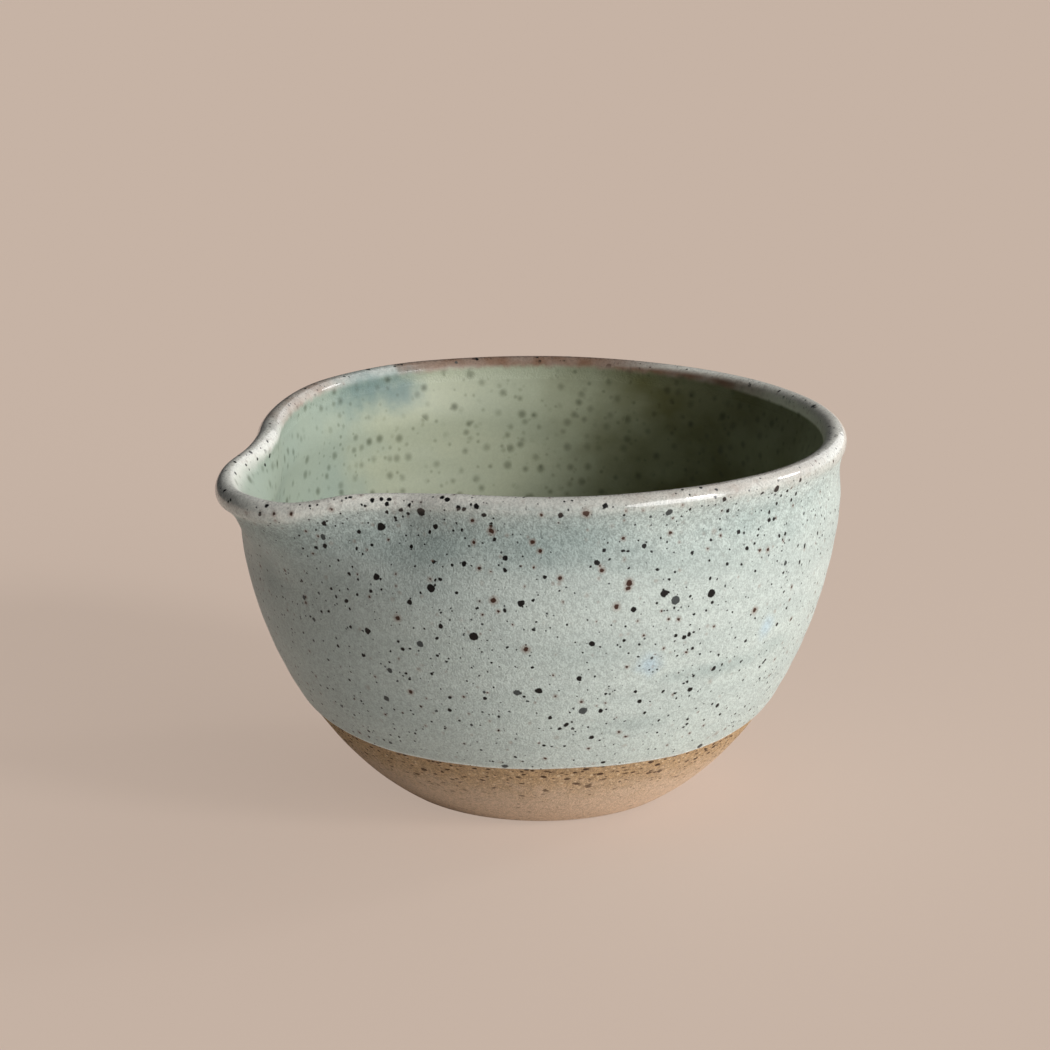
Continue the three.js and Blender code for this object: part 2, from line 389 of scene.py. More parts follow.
def new_group(name, kind, inputs, outputs):
    """An empty node group with named sockets, its nodes, its inputs as fields and its output node."""
    tree = bpy.data.node_groups.new(name, kind)
    for label, sort, value in inputs:
        socket = tree.interface.new_socket(label, in_out="INPUT", socket_type=sort)
        if value is not None:
            socket.default_value = value
    for label, sort in outputs:
        tree.interface.new_socket(label, in_out="OUTPUT", socket_type=sort)
    nodes = Nodes(tree)
    entry = nodes.add("NodeGroupInput")
    given = {label: Field(nodes, entry.outputs[label]) for label, _, _ in inputs}
    return tree, nodes, given, nodes.add("NodeGroupOutput")


# The thrown section


def bezier(corners, share):
    """Point at a share of a Bezier line."""
    while len(corners) > 1:
        corners = [first.lerp(second, share) for first, second in zip(corners, corners[1:])]
    return corners[0]


def heading(angle):
    """Direction at an angle above level."""
    return Vector((math.cos(angle), math.sin(angle)))


def reaches(points):
    """Distance along a line to each of its points."""
    steps = ((second - first).length for first, second in zip(points, points[1:]))
    return list(accumulate(steps, initial=0.0))


def spaced(line, start, end, step):
    """Points at even steps along a line, given as a function of its share."""
    points = [line(start + (end - start) * i / LINE_SAMPLES) for i in range(LINE_SAMPLES + 1)]
    reach = reaches(points)
    count = max(2, math.ceil(reach[-1] / step))
    found = []
    at = 0
    for i in range(count + 1):
        goal = reach[-1] * i / count
        while at < LINE_SAMPLES - 1 and reach[at + 1] < goal:
            at += 1
        part = (goal - reach[at]) / max(reach[at + 1] - reach[at], TINY)
        found.append(points[at].lerp(points[at + 1], min(part, 1)))
    return found


def crossing(line, height):
    """Share of a rising or falling line at which it crosses a height."""
    rising = line(1).y > line(0).y
    before, after = 0.0, 1.0
    while after - before > TINY:
        middle = (before + after) / 2
        if middle in (before, after):
            break
        if (line(middle).y < height) == rising:
            before = middle
        else:
            after = middle
    return before


class Section:
    """The bowl's half section: the clay's outline from foot to floor, and where each coat starts on it."""

    def __init__(self, sizes):
        self.sizes = sizes
        foot = Vector((sizes.foot_diameter / 2, 0))
        belly = Vector((sizes.rim_diameter / 2 - sizes.lip_overhang, sizes.height - sizes.neck_height))
        lip_radius = sizes.lip_thickness / 2
        self.lip_centre = Vector((sizes.rim_diameter / 2 - lip_radius, sizes.height - lip_radius))
        undercut = -sizes.lip_undercut

        def outside_wall(share):
            corners = [
                foot,
                foot + heading(sizes.foot_flare) * sizes.lower_sweep,
                Vector((belly.x, belly.y - sizes.upper_sweep)),
                belly,
            ]
            return bezier(corners, share)

        def slope(share):
            nudge = 1e-5
            return (outside_wall(share + nudge) - outside_wall(share - nudge)).normalized()

        def inside_wall(share):
            along = slope(1 - share)
            return outside_wall(1 - share) + Vector((-along.y, along.x)) * sizes.wall

        def lip(share):
            return self.lip_centre + heading(undercut + (math.pi - undercut) * share) * lip_radius

        def outside_neck(share):
            bend = lip(0) - heading(math.pi / 2 + undercut) * sizes.neck_sweep
            return bezier([belly, belly + Vector((0, sizes.neck_sweep)), bend, lip(0)], share)

        def inside_neck(share):
            foot_of_neck = belly - Vector((sizes.wall, 0))
            ease = Vector((0, sizes.neck_sweep))
            return bezier([lip(1), lip(1) - ease, foot_of_neck + ease, foot_of_neck], share)

        wall_start = sizes.foot_rounding / (3 * sizes.lower_sweep)
        floor_start = crossing(inside_wall, sizes.floor + sizes.floor_ease)
        along = slope(1 - floor_start)
        ease_length = sizes.floor_ease / along.y
        corner = inside_wall(floor_start) - along * ease_length
        flat_edge = Vector((corner.x - ease_length, sizes.floor))

        def foot_round(share):
            return bezier([foot - Vector((sizes.foot_rounding, 0)), foot, outside_wall(wall_start)], share)

        def floor_round(share):
            return bezier([inside_wall(floor_start), corner, flat_edge], share)

        glaze_line = crossing(outside_wall, sizes.bare_foot)
        band_outside = crossing(outside_neck, sizes.height - sizes.rim_band_outside)
        band_inside = crossing(inside_neck, sizes.height - sizes.rim_band_inside)
        runs = {
            "foot": [
                spaced(lambda share: foot_round(0) * share, 0, 1, HIDDEN_STEP),
                spaced(foot_round, 0, 1, LIP_STEP),
                spaced(outside_wall, wall_start, glaze_line, BARE_STEP),
            ],
            "outside": [
                spaced(outside_wall, glaze_line, 1, COAT_STEP),
                spaced(outside_neck, 0, band_outside, COAT_STEP),
            ],
            "lip": [
                spaced(outside_neck, band_outside, 1, LIP_STEP),
                spaced(lip, 0, 1, LIP_STEP),
                spaced(inside_neck, 0, band_inside, LIP_STEP),
            ],
            "inside": [
                spaced(inside_neck, band_inside, 1, COAT_STEP),
                spaced(inside_wall, 0, floor_start, COAT_STEP),
                spaced(floor_round, 0, 1, COAT_STEP),
                spaced(lambda share: flat_edge.lerp(Vector((0, sizes.floor)), share), 0, 1, HIDDEN_STEP),
            ],
        }
        self.outline = []
        self.borders = {}
        for name, lines in runs.items():
            start = max(len(self.outline) - 1, 0)
            for here in (point for line in lines for point in line):
                if not self.outline or (here - self.outline[-1]).length > WELD:
                    self.outline.append(here)
            self.borders[name] = (start, len(self.outline) - 1)
        top = max(range(len(self.outline)), key=lambda i: self.outline[i].y)
        reach = reaches(self.outline)
        self.from_lip = [reach[top] - along for along in reach]

    def outward(self, i):
        """Direction away from the clay at a point of its outline."""
        last = len(self.outline) - 1
        along = (self.outline[min(i + 1, last)] - self.outline[max(i - 1, 0)]).normalized()
        return Vector((along.y, -along.x))

    def apart(self, i, before, end):
        """Whether a hidden point of the outline is far enough from the one before it and from the end."""
        here = self.outline[i]
        return (here - before).length > HIDDEN_STEP and (self.outline[end] - here).length > HIDDEN_STEP / 2

    def clay(self):
        """The clay's own section, with fewer points where a coat covers it: their places, their distance
        from the lip and no lift."""
        start, _ = self.borders["outside"]
        covered = self.from_lip[start] - self.sizes.line_rise - BARE_MARGIN
        last = len(self.outline) - 1
        points = []
        for i, (here, from_lip) in enumerate(zip(self.outline, self.from_lip)):
            if from_lip > covered or i == last or self.apart(i, points[-1][0], last):
                points.append((here, from_lip, Vector((0, 0))))
        return points

    def lift(self, i):
        """Which way and how much a point of the outside coat moves when its glaze line rises."""
        outward = self.outward(i)
        start, _ = self.borders["outside"]
        share = max(0.0, 1 - (self.from_lip[start] - self.from_lip[i]) / LINE_HOLD)
        return Vector((-outward.y, outward.x)) * share * share

    def coat(self, name, thickness):
        """A coat's closed section, along the glaze and back along the clay. The thickness is a function
        of the distances to the coat's two ends."""
        start, end = self.borders[name]
        skin = []
        back = []
        for i in range(start, end + 1):
            before = self.from_lip[start] - self.from_lip[i]
            after = self.from_lip[i] - self.from_lip[end]
            lift = self.lift(i) if name == "outside" else Vector((0, 0))
            here = self.outline[i] + self.outward(i) * thickness(before, after)
            skin.append((here, self.from_lip[i], lift))
            if i in (start, end) or self.apart(i, back[-1][0], end):
                back.append((self.outline[i].copy(), self.from_lip[i], lift))
        return [*skin, *reversed(back), skin[0]]


def section_mesh(name, points):
    """A section as a line of edges in the XZ plane, carrying what the coats' colours follow."""
    mesh = bpy.data.meshes.new(name)
    edges = [(i, i + 1) for i in range(len(points) - 1)]
    mesh.from_pydata([(here.x, 0, here.y) for here, _, _ in points], edges, [])
    carried = {
        FROM_LIP: [from_lip for _, from_lip, _ in points],
        LIFT_OUT: [lift.x for _, _, lift in points],
        LIFT_UP: [lift.y for _, _, lift in points],
    }
    for label, values in carried.items():
        held = mesh.attributes.new(label, "FLOAT", "POINT")
        held.data.foreach_set("value", values)
    return mesh


# Sizes that the shell's tree takes
SHELL_SIZES = (
    "spout_reach", "spout_spread", "spout_droop", "spout_depth",
    "shoulder_pinch", "shoulder_spread", "shoulder_drop",
    "far_dip", "far_dip_turn", "far_dip_spread",
    "back_dip", "back_dip_turn", "back_dip_spread",
    "near_dip", "near_dip_turn", "near_dip_spread",
    "side_dip", "side_dip_turn", "side_dip_spread",
    "side_swell", "swell_spread", "swell_height", "swell_depth",
    "ring_depth", "ring_pitch", "unevenness", "lip_wander",
    "line_wander", "line_rise", "run_turn", "run_start", "run_end",
)
SHELL_TREE = "Thrown and Pulled Shell"


def titled(key):
    """A property's name as the shell's tree shows it."""
    return key.replace("_", " ").title()


def hump(nodes, distance, spread):
    """A smooth hump, 1 in the middle and 0 from one spread away."""
    share = nodes.math("MINIMUM", nodes.math("ABSOLUTE", distance) / spread, 1)
    return nodes.math("COSINE", share * math.pi) * 0.5 + 0.5


def shell_tree():
    """The tree that turns a section on the wheel, marks it with the fingers and pulls the spout."""
    found = bpy.data.node_groups.get(SHELL_TREE)
    if found:
        return found
    inputs = [
        ("Geometry", "NodeSocketGeometry", None),
        ("Segments", "NodeSocketInt", SEGMENTS),
        ("Lip Radius", "NodeSocketFloat", 0.0),
        ("Lip Height", "NodeSocketFloat", 0.0),
        ("Material", "NodeSocketMaterial", None),
    ]
    inputs += [(titled(key), "NodeSocketFloat", 0.0) for key in SHELL_SIZES]
    outputs = [("Geometry", "NodeSocketGeometry")]
    tree, nodes, given, leave = new_group(SHELL_TREE, "GeometryNodeTree", inputs, outputs)

    count = nodes.add("GeometryNodeAttributeDomainSize", {"Geometry": given["Geometry"]}, component="MESH")
    rows = nodes.field(count, "Point Count")
    columns = nodes.add("FunctionNodeIntegerMath", {0: given["Segments"], 1: 1}, operation="ADD")
    sheet = nodes.add("GeometryNodeMeshGrid", {"Vertices X": columns.outputs[0], "Vertices Y": rows})
    index = nodes.add("GeometryNodeInputIndex").outputs[0]
    row = nodes.add("FunctionNodeIntegerMath", {0: index, 1: rows}, operation="MODULO").outputs[0]
    column = nodes.add("FunctionNodeIntegerMath", {0: index, 1: rows}, operation="DIVIDE_FLOOR").outputs[0]

    def sampled(value, sort):
        inputs = {"Geometry": given["Geometry"], "Value": value, "Index": row}
        return nodes.field(nodes.add("GeometryNodeSampleIndex", inputs, data_type=sort))

    def carried(label):
        named = nodes.add("GeometryNodeInputNamedAttribute", {"Name": label}, data_type="FLOAT")
        return sampled(named.outputs[0], "FLOAT")

    def drum(level):
        return nodes.combine(cosine * DRUM_RADIUS, sine * DRUM_RADIUS, level)

    on_line = nodes.add("GeometryNodeInputPosition").outputs[0]
    radius, _, height = nodes.separate(sampled(on_line, "FLOAT_VECTOR"))
    off_axis = nodes.math("GREATER_THAN", radius, WELD)
    from_lip = carried(FROM_LIP)
    angle = Field(nodes, column) / given["Segments"] * math.tau - math.pi
    cosine = nodes.math("COSINE", angle)
    sine = nodes.math("SINE", angle)

    # Fingers on the wheel: rings that climb one pitch a turn, and a wall that wanders from round
    around = drum(height / MM * DRUM_CLIMB)
    wander = nodes.noise(around, WANDER_SIZE, detail=1.0) - 0.5
    pressure = nodes.smooth(nodes.noise(around, PRESSURE_SIZE), *PRESSURE_RANGE)
    phase = (height / given["Ring Pitch"] + angle / math.tau + wander * RING_DRIFT) * math.tau
    below_lip = nodes.smooth(height, given["Lip Height"] - RINGS_END, given["Lip Height"] - RINGS_FULL)
    above_foot = nodes.smooth(height, FOOT_STILL, FOOT_FREE)
    rings = nodes.math("SINE", phase) * pressure * given["Ring Depth"]
    push = (rings * below_lip + wander * 2 * given["Unevenness"]) * above_foot

    # The glaze line and the lip rise and fall a little round the bowl
    lift = (nodes.noise(drum(LINE_LEVEL), LINE_SIZE) - 0.5) * 2 * given["Line Wander"]
    from_run = nodes.math("WRAP", angle - given["Run Turn"], math.pi, -math.pi)
    from_run = nodes.math("ABSOLUTE", from_run)
    lift = lift + nodes.smooth(from_run, given["Run Start"], given["Run End"]) * given["Line Rise"]
    sway = (nodes.noise(drum(SWAY_LEVEL), SWAY_SIZE, detail=1.0) - 0.5) * 2 * given["Lip Wander"]
    sway = sway * nodes.smooth(from_lip, SWAY_END, SWAY_FULL) * nodes.smooth(from_lip, -SWAY_END, -SWAY_FULL)
    radius = radius + push + lift * carried(LIFT_OUT)
    height = height + lift * carried(LIFT_UP) + sway

    # The pull of the spout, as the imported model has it
    spout = hump(nodes, angle, given["Spout Spread"])
    shoulder = hump(nodes, angle, given["Shoulder Spread"])
    out = (given["Spout Reach"] + given["Shoulder Pinch"]) * spout - given["Shoulder Pinch"] * shoulder
    down = given["Spout Droop"] * spout + given["Shoulder Drop"] * shoulder
    for dip in ("Far Dip", "Back Dip", "Near Dip", "Side Dip"):
        down = down + given[dip] * hump(nodes, angle - given[dip + " Turn"], given[dip + " Spread"])
    base = nodes.math("MINIMUM", height, given["Lip Height"])
    share = nodes.math("MAXIMUM", 1 - (given["Lip Height"] - base) / given["Spout Depth"], 0)
    grip = share * share * (2 - share)
    grip_slope = share * (4 - 3 * share) / given["Spout Depth"]
    lean = nodes.math("ARCTAN2", out * grip_slope, 1 - down * grip_slope)
    swell = given["Side Swell"] * hump(nodes, angle, given["Swell Spread"])
    swell = swell * hump(nodes, base - given["Swell Height"], given["Swell Depth"])
    across = radius - given["Lip Radius"]
    above = height - base
    lean_cosine = nodes.math("COSINE", lean)
    lean_sine = nodes.math("SINE", lean)
    pulled = given["Lip Radius"] + out * grip + across * lean_cosine + above * lean_sine
    pulled = pulled + swell * (1 - grip) * (radius / given["Lip Radius"])
    pulled_height = base - down * grip - across * lean_sine + above * lean_cosine
    pulled = pulled * off_axis
    place = nodes.combine(-pulled * cosine, pulled * sine, pulled_height)

    named = nodes.add(
        "GeometryNodeStoreNamedAttribute",
        {"Geometry": sheet.outputs["Mesh"], "Name": FROM_LIP, "Value": from_lip},
        data_type="FLOAT",
        domain="POINT",
    )
    shaped = nodes.add("GeometryNodeSetPosition", {"Geometry": named.outputs[0], "Position": place})
    welded = nodes.add("GeometryNodeMergeByDistance", {"Geometry": shaped.outputs[0], "Distance": WELD})
    faces = nodes.add("GeometryNodeInputMeshEdgeNeighbors").outputs[0]
    bare_edge = nodes.math("LESS_THAN", Field(nodes, faces), 1)
    clean = nodes.add(
        "GeometryNodeDeleteGeometry", {"Geometry": welded.outputs[0], "Selection": bare_edge}, domain="EDGE"
    )
    turned = nodes.add("GeometryNodeFlipFaces", {"Mesh": clean.outputs[0]})
    smooth = nodes.add("GeometryNodeSetShadeSmooth", {0: turned.outputs[0]}, domain="FACE")
    fold = nodes.field(nodes.add("GeometryNodeInputMeshEdgeAngle"), "Unsigned Angle")
    creased = nodes.add(
        "GeometryNodeSetShadeSmooth",
        {0: smooth.outputs[0], 1: nodes.math("GREATER_THAN", fold, SHARP_FOLD), 2: False},
        domain="EDGE",
    )
    real = nodes.add("GeometryNodeRealizeInstances", {"Geometry": creased.outputs[0]})
    coated = {"Geometry": real.outputs[0], "Material": given["Material"]}
    dressed = nodes.add("GeometryNodeSetMaterial", coated)
    nodes.feed(leave.inputs["Geometry"], dressed.outputs[0])
    return tree


def placed(name, data):
    """A new object in the scene."""
    made = bpy.data.objects.new(name, data)
    bpy.context.scene.collection.objects.link(made)
    return made


def throw(name, section, points, node, slot):
    """One piece: its section turned and pulled by the shell's tree, made a plain mesh in place of a node."""
    sizes = section.sizes
    material = bpy.data.materials.new(slot)
    tree = shell_tree()
    line = placed(name + "_section", section_mesh(name + "_section", points))
    shell = line.modifiers.new(SHELL_TREE, "NODES")
    shell.node_group = tree
    values = {
        "Segments": sizes.segments,
        "Lip Radius": section.lip_centre.x,
        "Lip Height": section.lip_centre.y,
        "Material": material,
    }
    values.update({titled(key): getattr(sizes, key) for key in SHELL_SIZES})
    for socket in tree.interface.items_tree:
        if socket.in_out == "INPUT" and socket.name in values:
            shell[socket.identifier] = values[socket.name]
    bpy.context.view_layer.update()
    depsgraph = bpy.context.evaluated_depsgraph_get()
    mesh = bpy.data.meshes.new_from_object(line.evaluated_get(depsgraph))
    line.modifiers.remove(shell)
    bpy.data.objects.remove(line)
    if not mesh.polygons:
        raise RuntimeError(f"{name} came out with no faces")
    mesh.name = name
    mesh.materials.clear()
    mesh.materials.append(material)
    mesh.polygons.foreach_set("material_index", [0] * len(mesh.polygons))
    piece = placed(name, mesh)
    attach(piece, BODY)
    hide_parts(node)
    return piece


# What stands out on the bowl where the photo shows it. Places are pixels across and down the photo's frame.

PHOTO_FRAME = 1050
SENSOR = 36.0


class Grain(NamedTuple):
    """An iron grain and its width in millimetres."""

    across: float
    down: float
    width: float


class Pool(NamedTuple):
    """A place where a coat has run together: its reach along the rings and up the wall in millimetres, and
    its share of the pool's colour."""

    across: float
    down: float
    along: float
    up: float
    share: float


GRAINS = {
    "iron": [
        Grain(421, 512, 1.7), Grain(381, 527, 1.7), Grain(376, 577, 1.4), Grain(431, 588, 1.7),
        Grain(464, 564, 1.1), Grain(505, 558, 1.1), Grain(521, 603, 1.4), Grain(474, 636, 1.7),
        Grain(410, 602, 1.1), Grain(368, 631, 1.4), Grain(441, 626, 1.1), Grain(437, 638, 0.8),
        Grain(403, 649, 0.9), Grain(450, 709, 0.9), Grain(539, 690, 1.4), Grain(324, 523, 0.9),
        Grain(325, 546, 1.1), Grain(316, 548, 0.7), Grain(303, 548, 0.6), Grain(359, 532, 0.9),
        Grain(435, 527, 1.0), Grain(491, 526, 0.8), Grain(458, 508, 1.1), Grain(464, 509, 0.9),
        Grain(476, 507, 1.1), Grain(471, 505, 0.7), Grain(484, 515, 0.9), Grain(447, 499, 1.1),
        Grain(442, 497, 0.9), Grain(266, 504, 1.0), Grain(260, 514, 0.8), Grain(288, 522, 0.9),
        Grain(349, 574, 0.8), Grain(338, 560, 0.6), Grain(346, 601, 0.9), Grain(371, 591, 0.9),
        Grain(331, 589, 0.7), Grain(440, 579, 0.8), Grain(457, 593, 0.8), Grain(505, 610, 0.8),
        Grain(505, 570, 0.8), Grain(364, 655, 0.9), Grain(398, 641, 0.7), Grain(450, 697, 0.8),
        Grain(711, 593, 1.8), Grain(712, 602, 0.8), Grain(664, 593, 1.6), Grain(644, 546, 1.1),
        Grain(597, 563, 1.2), Grain(604, 550, 0.9), Grain(623, 551, 0.7), Grain(633, 609, 1.1),
        Grain(592, 643, 1.3), Grain(579, 678, 1.2), Grain(566, 724, 1.1), Grain(560, 728, 0.8),
        Grain(600, 710, 0.9), Grain(591, 737, 1.1), Grain(690, 689, 1.1), Grain(687, 681, 0.8),
        Grain(713, 668, 1.1), Grain(684, 637, 1.1), Grain(689, 634, 1.0), Grain(675, 635, 0.9),
        Grain(692, 648, 0.8), Grain(639, 701, 1.0), Grain(635, 691, 0.9), Grain(644, 712, 0.8),
        Grain(663, 691, 0.8), Grain(675, 693, 0.7), Grain(717, 705, 1.0), Grain(799, 562, 0.9),
        Grain(747, 548, 1.0), Grain(738, 532, 1.1), Grain(769, 520, 1.0), Grain(776, 489, 1.5),
        Grain(724, 499, 1.0), Grain(605, 506, 1.1), Grain(561, 515, 1.1), Grain(564, 496, 0.9),
        Grain(701, 488, 0.9), Grain(728, 510, 0.8), Grain(727, 564, 0.8), Grain(710, 578, 0.8),
        Grain(545, 577, 0.8), Grain(550, 717, 1.0), Grain(603, 762, 0.9), Grain(687, 724, 0.8),
        Grain(252, 450, 0.9), Grain(270, 456, 1.0), Grain(266, 465, 0.8), Grain(258, 459, 0.7),
        Grain(246, 465, 0.7), Grain(235, 462, 0.8), Grain(235, 474, 0.8), Grain(250, 469, 0.6),
        Grain(225, 491, 0.8), Grain(231, 500, 0.7), Grain(264, 482, 0.8), Grain(744, 533, 0.6),
        Grain(754, 543, 0.6), Grain(741, 564, 0.6), Grain(690, 596, 0.7), Grain(804, 546, 0.9),
        Grain(785, 533, 0.8), Grain(779, 536, 0.8), Grain(817, 533, 0.7), Grain(769, 512, 0.8),
        Grain(774, 519, 0.8), Grain(777, 504, 0.7), Grain(791, 500, 0.8), Grain(796, 494, 0.8),
        Grain(787, 491, 0.9), Grain(781, 496, 0.7), Grain(800, 480, 0.9), Grain(806, 483, 0.6),
        Grain(761, 493, 0.7), Grain(716, 490, 0.7), Grain(682, 490, 0.7), Grain(690, 509, 0.7),
        Grain(372, 500, 0.9), Grain(381, 498, 0.8), Grain(389, 499, 0.9), Grain(387, 504, 0.8),
        Grain(387, 512, 0.8), Grain(395, 518, 0.7), Grain(401, 510, 1.0), Grain(408, 514, 0.8),
        Grain(409, 505, 0.8), Grain(350, 497, 0.7),
    ],
    "iron_under": [
        Grain(420, 644, 1.4), Grain(390, 670, 1.3), Grain(387, 698, 1.3), Grain(517, 692, 1.4),
        Grain(323, 537, 1.2), Grain(304, 597, 1.1), Grain(342, 706, 1.0), Grain(675, 600, 1.9),
        Grain(583, 710, 1.8), Grain(785, 563, 1.1), Grain(669, 512, 1.4), Grain(505, 766, 1.4),
        Grain(700, 746, 1.4), Grain(314, 619, 0.9), Grain(391, 742, 0.9),
    ],
    "rust_core": [
        Grain(494, 600, 1.1), Grain(398, 618, 1.0), Grain(491, 531, 1.1), Grain(532, 542, 0.8),
        Grain(526, 649, 1.1), Grain(411, 692, 0.9), Grain(629, 583, 1.2), Grain(628, 588, 0.9),
        Grain(616, 606, 1.1), Grain(602, 570, 0.8), Grain(586, 513, 1.2), Grain(754, 610, 1.1),
        Grain(560, 578, 0.8), Grain(274, 514, 0.6), Grain(276, 520, 0.6), Grain(291, 514, 0.7),
    ],
}
# The tall pool under the spout, at 266 across and 565 down, is partly painted shade under the spout's
# overhang
WALL_POOLS = [
    Pool(440, 535, 15, 6, 0.25), Pool(560, 540, 26, 9, 0.75), Pool(662, 560, 17, 6, 0.25),
    Pool(266, 565, 8, 13, 0.5), Pool(600, 655, 20, 4, 0.22), Pool(632, 724, 12, 3, 0.28),
    Pool(716, 668, 22, 3, 0.6), Pool(775, 642, 9, 3, 0.4),
]
WALL_SPOTS = [Pool(649, 664, 4.2, 4.0, 0.8), Pool(766, 627, 3.2, 4.4, 0.75)]
LINER_POOLS = [Pool(370, 388, 18, 9, 0.9), Pool(402, 391, 8, 7, 0.75)]


class Specks(NamedTuple):
    """Specks without a place of their own, in millimetres: how far apart they are, their radius, how ragged
    and how soft their edge is, and the share of their size that is kept on the near side."""

    spacing: float
    radius: float
    ragged: float
    soft: float
    kept: float = 1.0


COAT_SPECKS = [
    Specks(7.5, 1.0, 0.5, 0.1, 0.0),
    Specks(4.2, 0.66, 0.4, 0.09, 0.6),
    Specks(2.4, 0.42, 0.3, 0.08, 0.95),
    Specks(1.6, 0.26, 0.2, 0.07, 1.0),
]
CLAY_SPECKS = [Specks(2.1, 0.5, 0.25, 0.08), Specks(1.4, 0.39, 0.25, 0.08), Specks(0.95, 0.28, 0.25, 0.08)]
GROG = Specks(1.2, 0.36, 0.2, 0.1)

# Soft spots in the liner: the least strength of one, and each kind with its own strength
LEAST_SPOT = 0.5
LINER_SPOTS = [(Specks(3.2, 0.9, 0.12, 0.65), 1.0), (Specks(2.3, 0.45, 0.12, 0.35), 0.7)]

# Level direction from the axis to the side that the photo shows, and how close to it the bowl's sides are
# between which specks change from their far size to their near one
NEAR_SIDE = Vector((-0.5402, -0.8415))
NEAR_RANGE = (0.0, 0.3)


def camera_view(look):
    """Place and aim of the camera."""
    spin = Matrix.Rotation(look.azimuth, 4, "Z")
    place = Matrix.Translation(spin @ Vector((0, -look.distance, look.height)))
    aim = Matrix.Rotation(look.azimuth + look.yaw, 4, "Z") @ Matrix.Rotation(math.pi / 2 - look.pitch, 4, "X")
    return place @ aim @ Matrix.Rotation(look.roll, 4, "Z")


def surface(piece):
    """A piece's faces, to look up where a ray meets them."""
    mesh = piece.data
    return BVHTree.FromPolygons([v.co for v in mesh.vertices], [p.vertices for p in mesh.polygons])


def ray_to(across, down):
    """Start and direction of the camera's ray through a pixel of the photo's frame."""
    look = bpy.context.scene.bowl_stage
    view = camera_view(look)
    reach = look.lens / SENSOR * PHOTO_FRAME
    ray = Vector((across - PHOTO_FRAME / 2, PHOTO_FRAME / 2 - down, -reach))
    return view.translation, (view.to_3x3() @ ray).normalized()


@cache
def solids():
    """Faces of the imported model's nodes."""
    return {name: surface(solid) for name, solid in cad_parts.items()}


def sighted(across, down):
    """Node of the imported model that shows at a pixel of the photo's frame, and the place on it."""
    start, ray = ray_to(across, down)
    hits = []
    for name, faces in solids().items():
        place, _, _, far = faces.ray_cast(start, ray)
        if place is not None:
            hits.append((far, name, place))
    if not hits:
        raise RuntimeError(f"no part of the bowl shows at {across}, {down}")
    _, name, place = min(hits)
    return name, place


def marks_on(faces, node):
    """Places and widths of the grains that show on a piece's faces or reach over its edge, by tone."""
    marks = {}
    for tone, grains in GRAINS.items():
        marks[tone] = []
        for grain in grains:
            name, place = sighted(grain.across, grain.down)
            centre, _, _, apart = faces.find_nearest(place)
            if name == node or apart < grain.width * MM / 2:
                marks[tone].append((centre / MM, grain.width))
    return marks


# Materials

SOCKET_SORTS = {"VALUE": "NodeSocketFloat", "VECTOR": "NodeSocketVector", "RGBA": "NodeSocketColor"}


def shown(colour):
    """A screen colour as the linear colour that a shader takes."""
    return (*Color(colour).from_srgb_to_scene_linear(), 1.0)


def effect(name, **inputs):
    """Makes a function that lays out nodes into one that places them in a material as a shared group."""

    def wrap(lay):
        def put(nodes, **values):
            tree = bpy.data.node_groups.get(name)
            if tree is None:
                sockets = [(label, SOCKET_SORTS[sort], None) for label, sort in inputs.items()]
                tree, inner, given, leave = new_group(name, "ShaderNodeTree", sockets, [])
                for label, value in lay(inner, **given).items():
                    sort = SOCKET_SORTS[value.socket.type]
                    tree.interface.new_socket(label, in_out="OUTPUT", socket_type=sort)
                    inner.feed(leave.inputs[label], value)
            node = nodes.add("ShaderNodeGroup", node_tree=tree)
            for label, value in values.items():
                nodes.feed(node.inputs[label], value)
            found = [socket for socket in node.outputs if socket.enabled]
            return [Field(nodes, socket) for socket in found]

        return put

    return wrap


def shaken(nodes, place, size, reach):
    """A place moved about by noise, so that what is drawn there has an uneven edge."""
    jitter = nodes.vector("SUBTRACT", nodes.noise(place, size, output="Color"), (0.5, 0.5, 0.5))
    return nodes.vector("ADD", place, nodes.scale(jitter, reach))


# A speck: the lumps of its edge in millimetres, its least size as a share of its radius, and its stain, which
# is full and gone at these shares of the speck's own radius, with a soft edge in millimetres
SPECK_LUMPS = 0.9
LEAST_SPECK = 0.4
STAIN_FULL = 0.7
STAIN_GONE = 2.2
STAIN_SOFT = 0.25

# A grain that stands out: the lumps of its edge, how ragged and how soft it is in millimetres, and its stain
# in shares of the grain's width
GRAIN_LUMPS = 1.1
GRAIN_RAGGED = 0.8
GRAIN_SOFT = 0.1
HALO_FULL = 0.3
HALO_GONE = 1.15
HALO_SOFT = 0.2


@effect("Iron Specks", place="VECTOR", spacing="VALUE", radius="VALUE", ragged="VALUE", soft="VALUE")
def iron_specks(nodes, place, spacing, radius, ragged, soft):
    """Iron grains scattered through the clay: their cores, their stains and a chance for each grain."""
    uneven = shaken(nodes, place, SPECK_LUMPS, ragged * 2)
    cells = nodes.add("ShaderNodeTexVoronoi", {"Vector": uneven, "Scale": 1 / spacing})
    apart = nodes.field(cells, "Distance") * spacing
    chance, share, _ = nodes.separate(nodes.field(cells, "Color"))
    own = radius * (LEAST_SPECK + (1 - LEAST_SPECK) * share)
    core = nodes.smooth(apart, own + soft, own - soft)
    stain = nodes.smooth(apart, own * STAIN_GONE + STAIN_SOFT, own * STAIN_FULL)
    return {"Core": core, "Stain": stain, "Chance": chance}


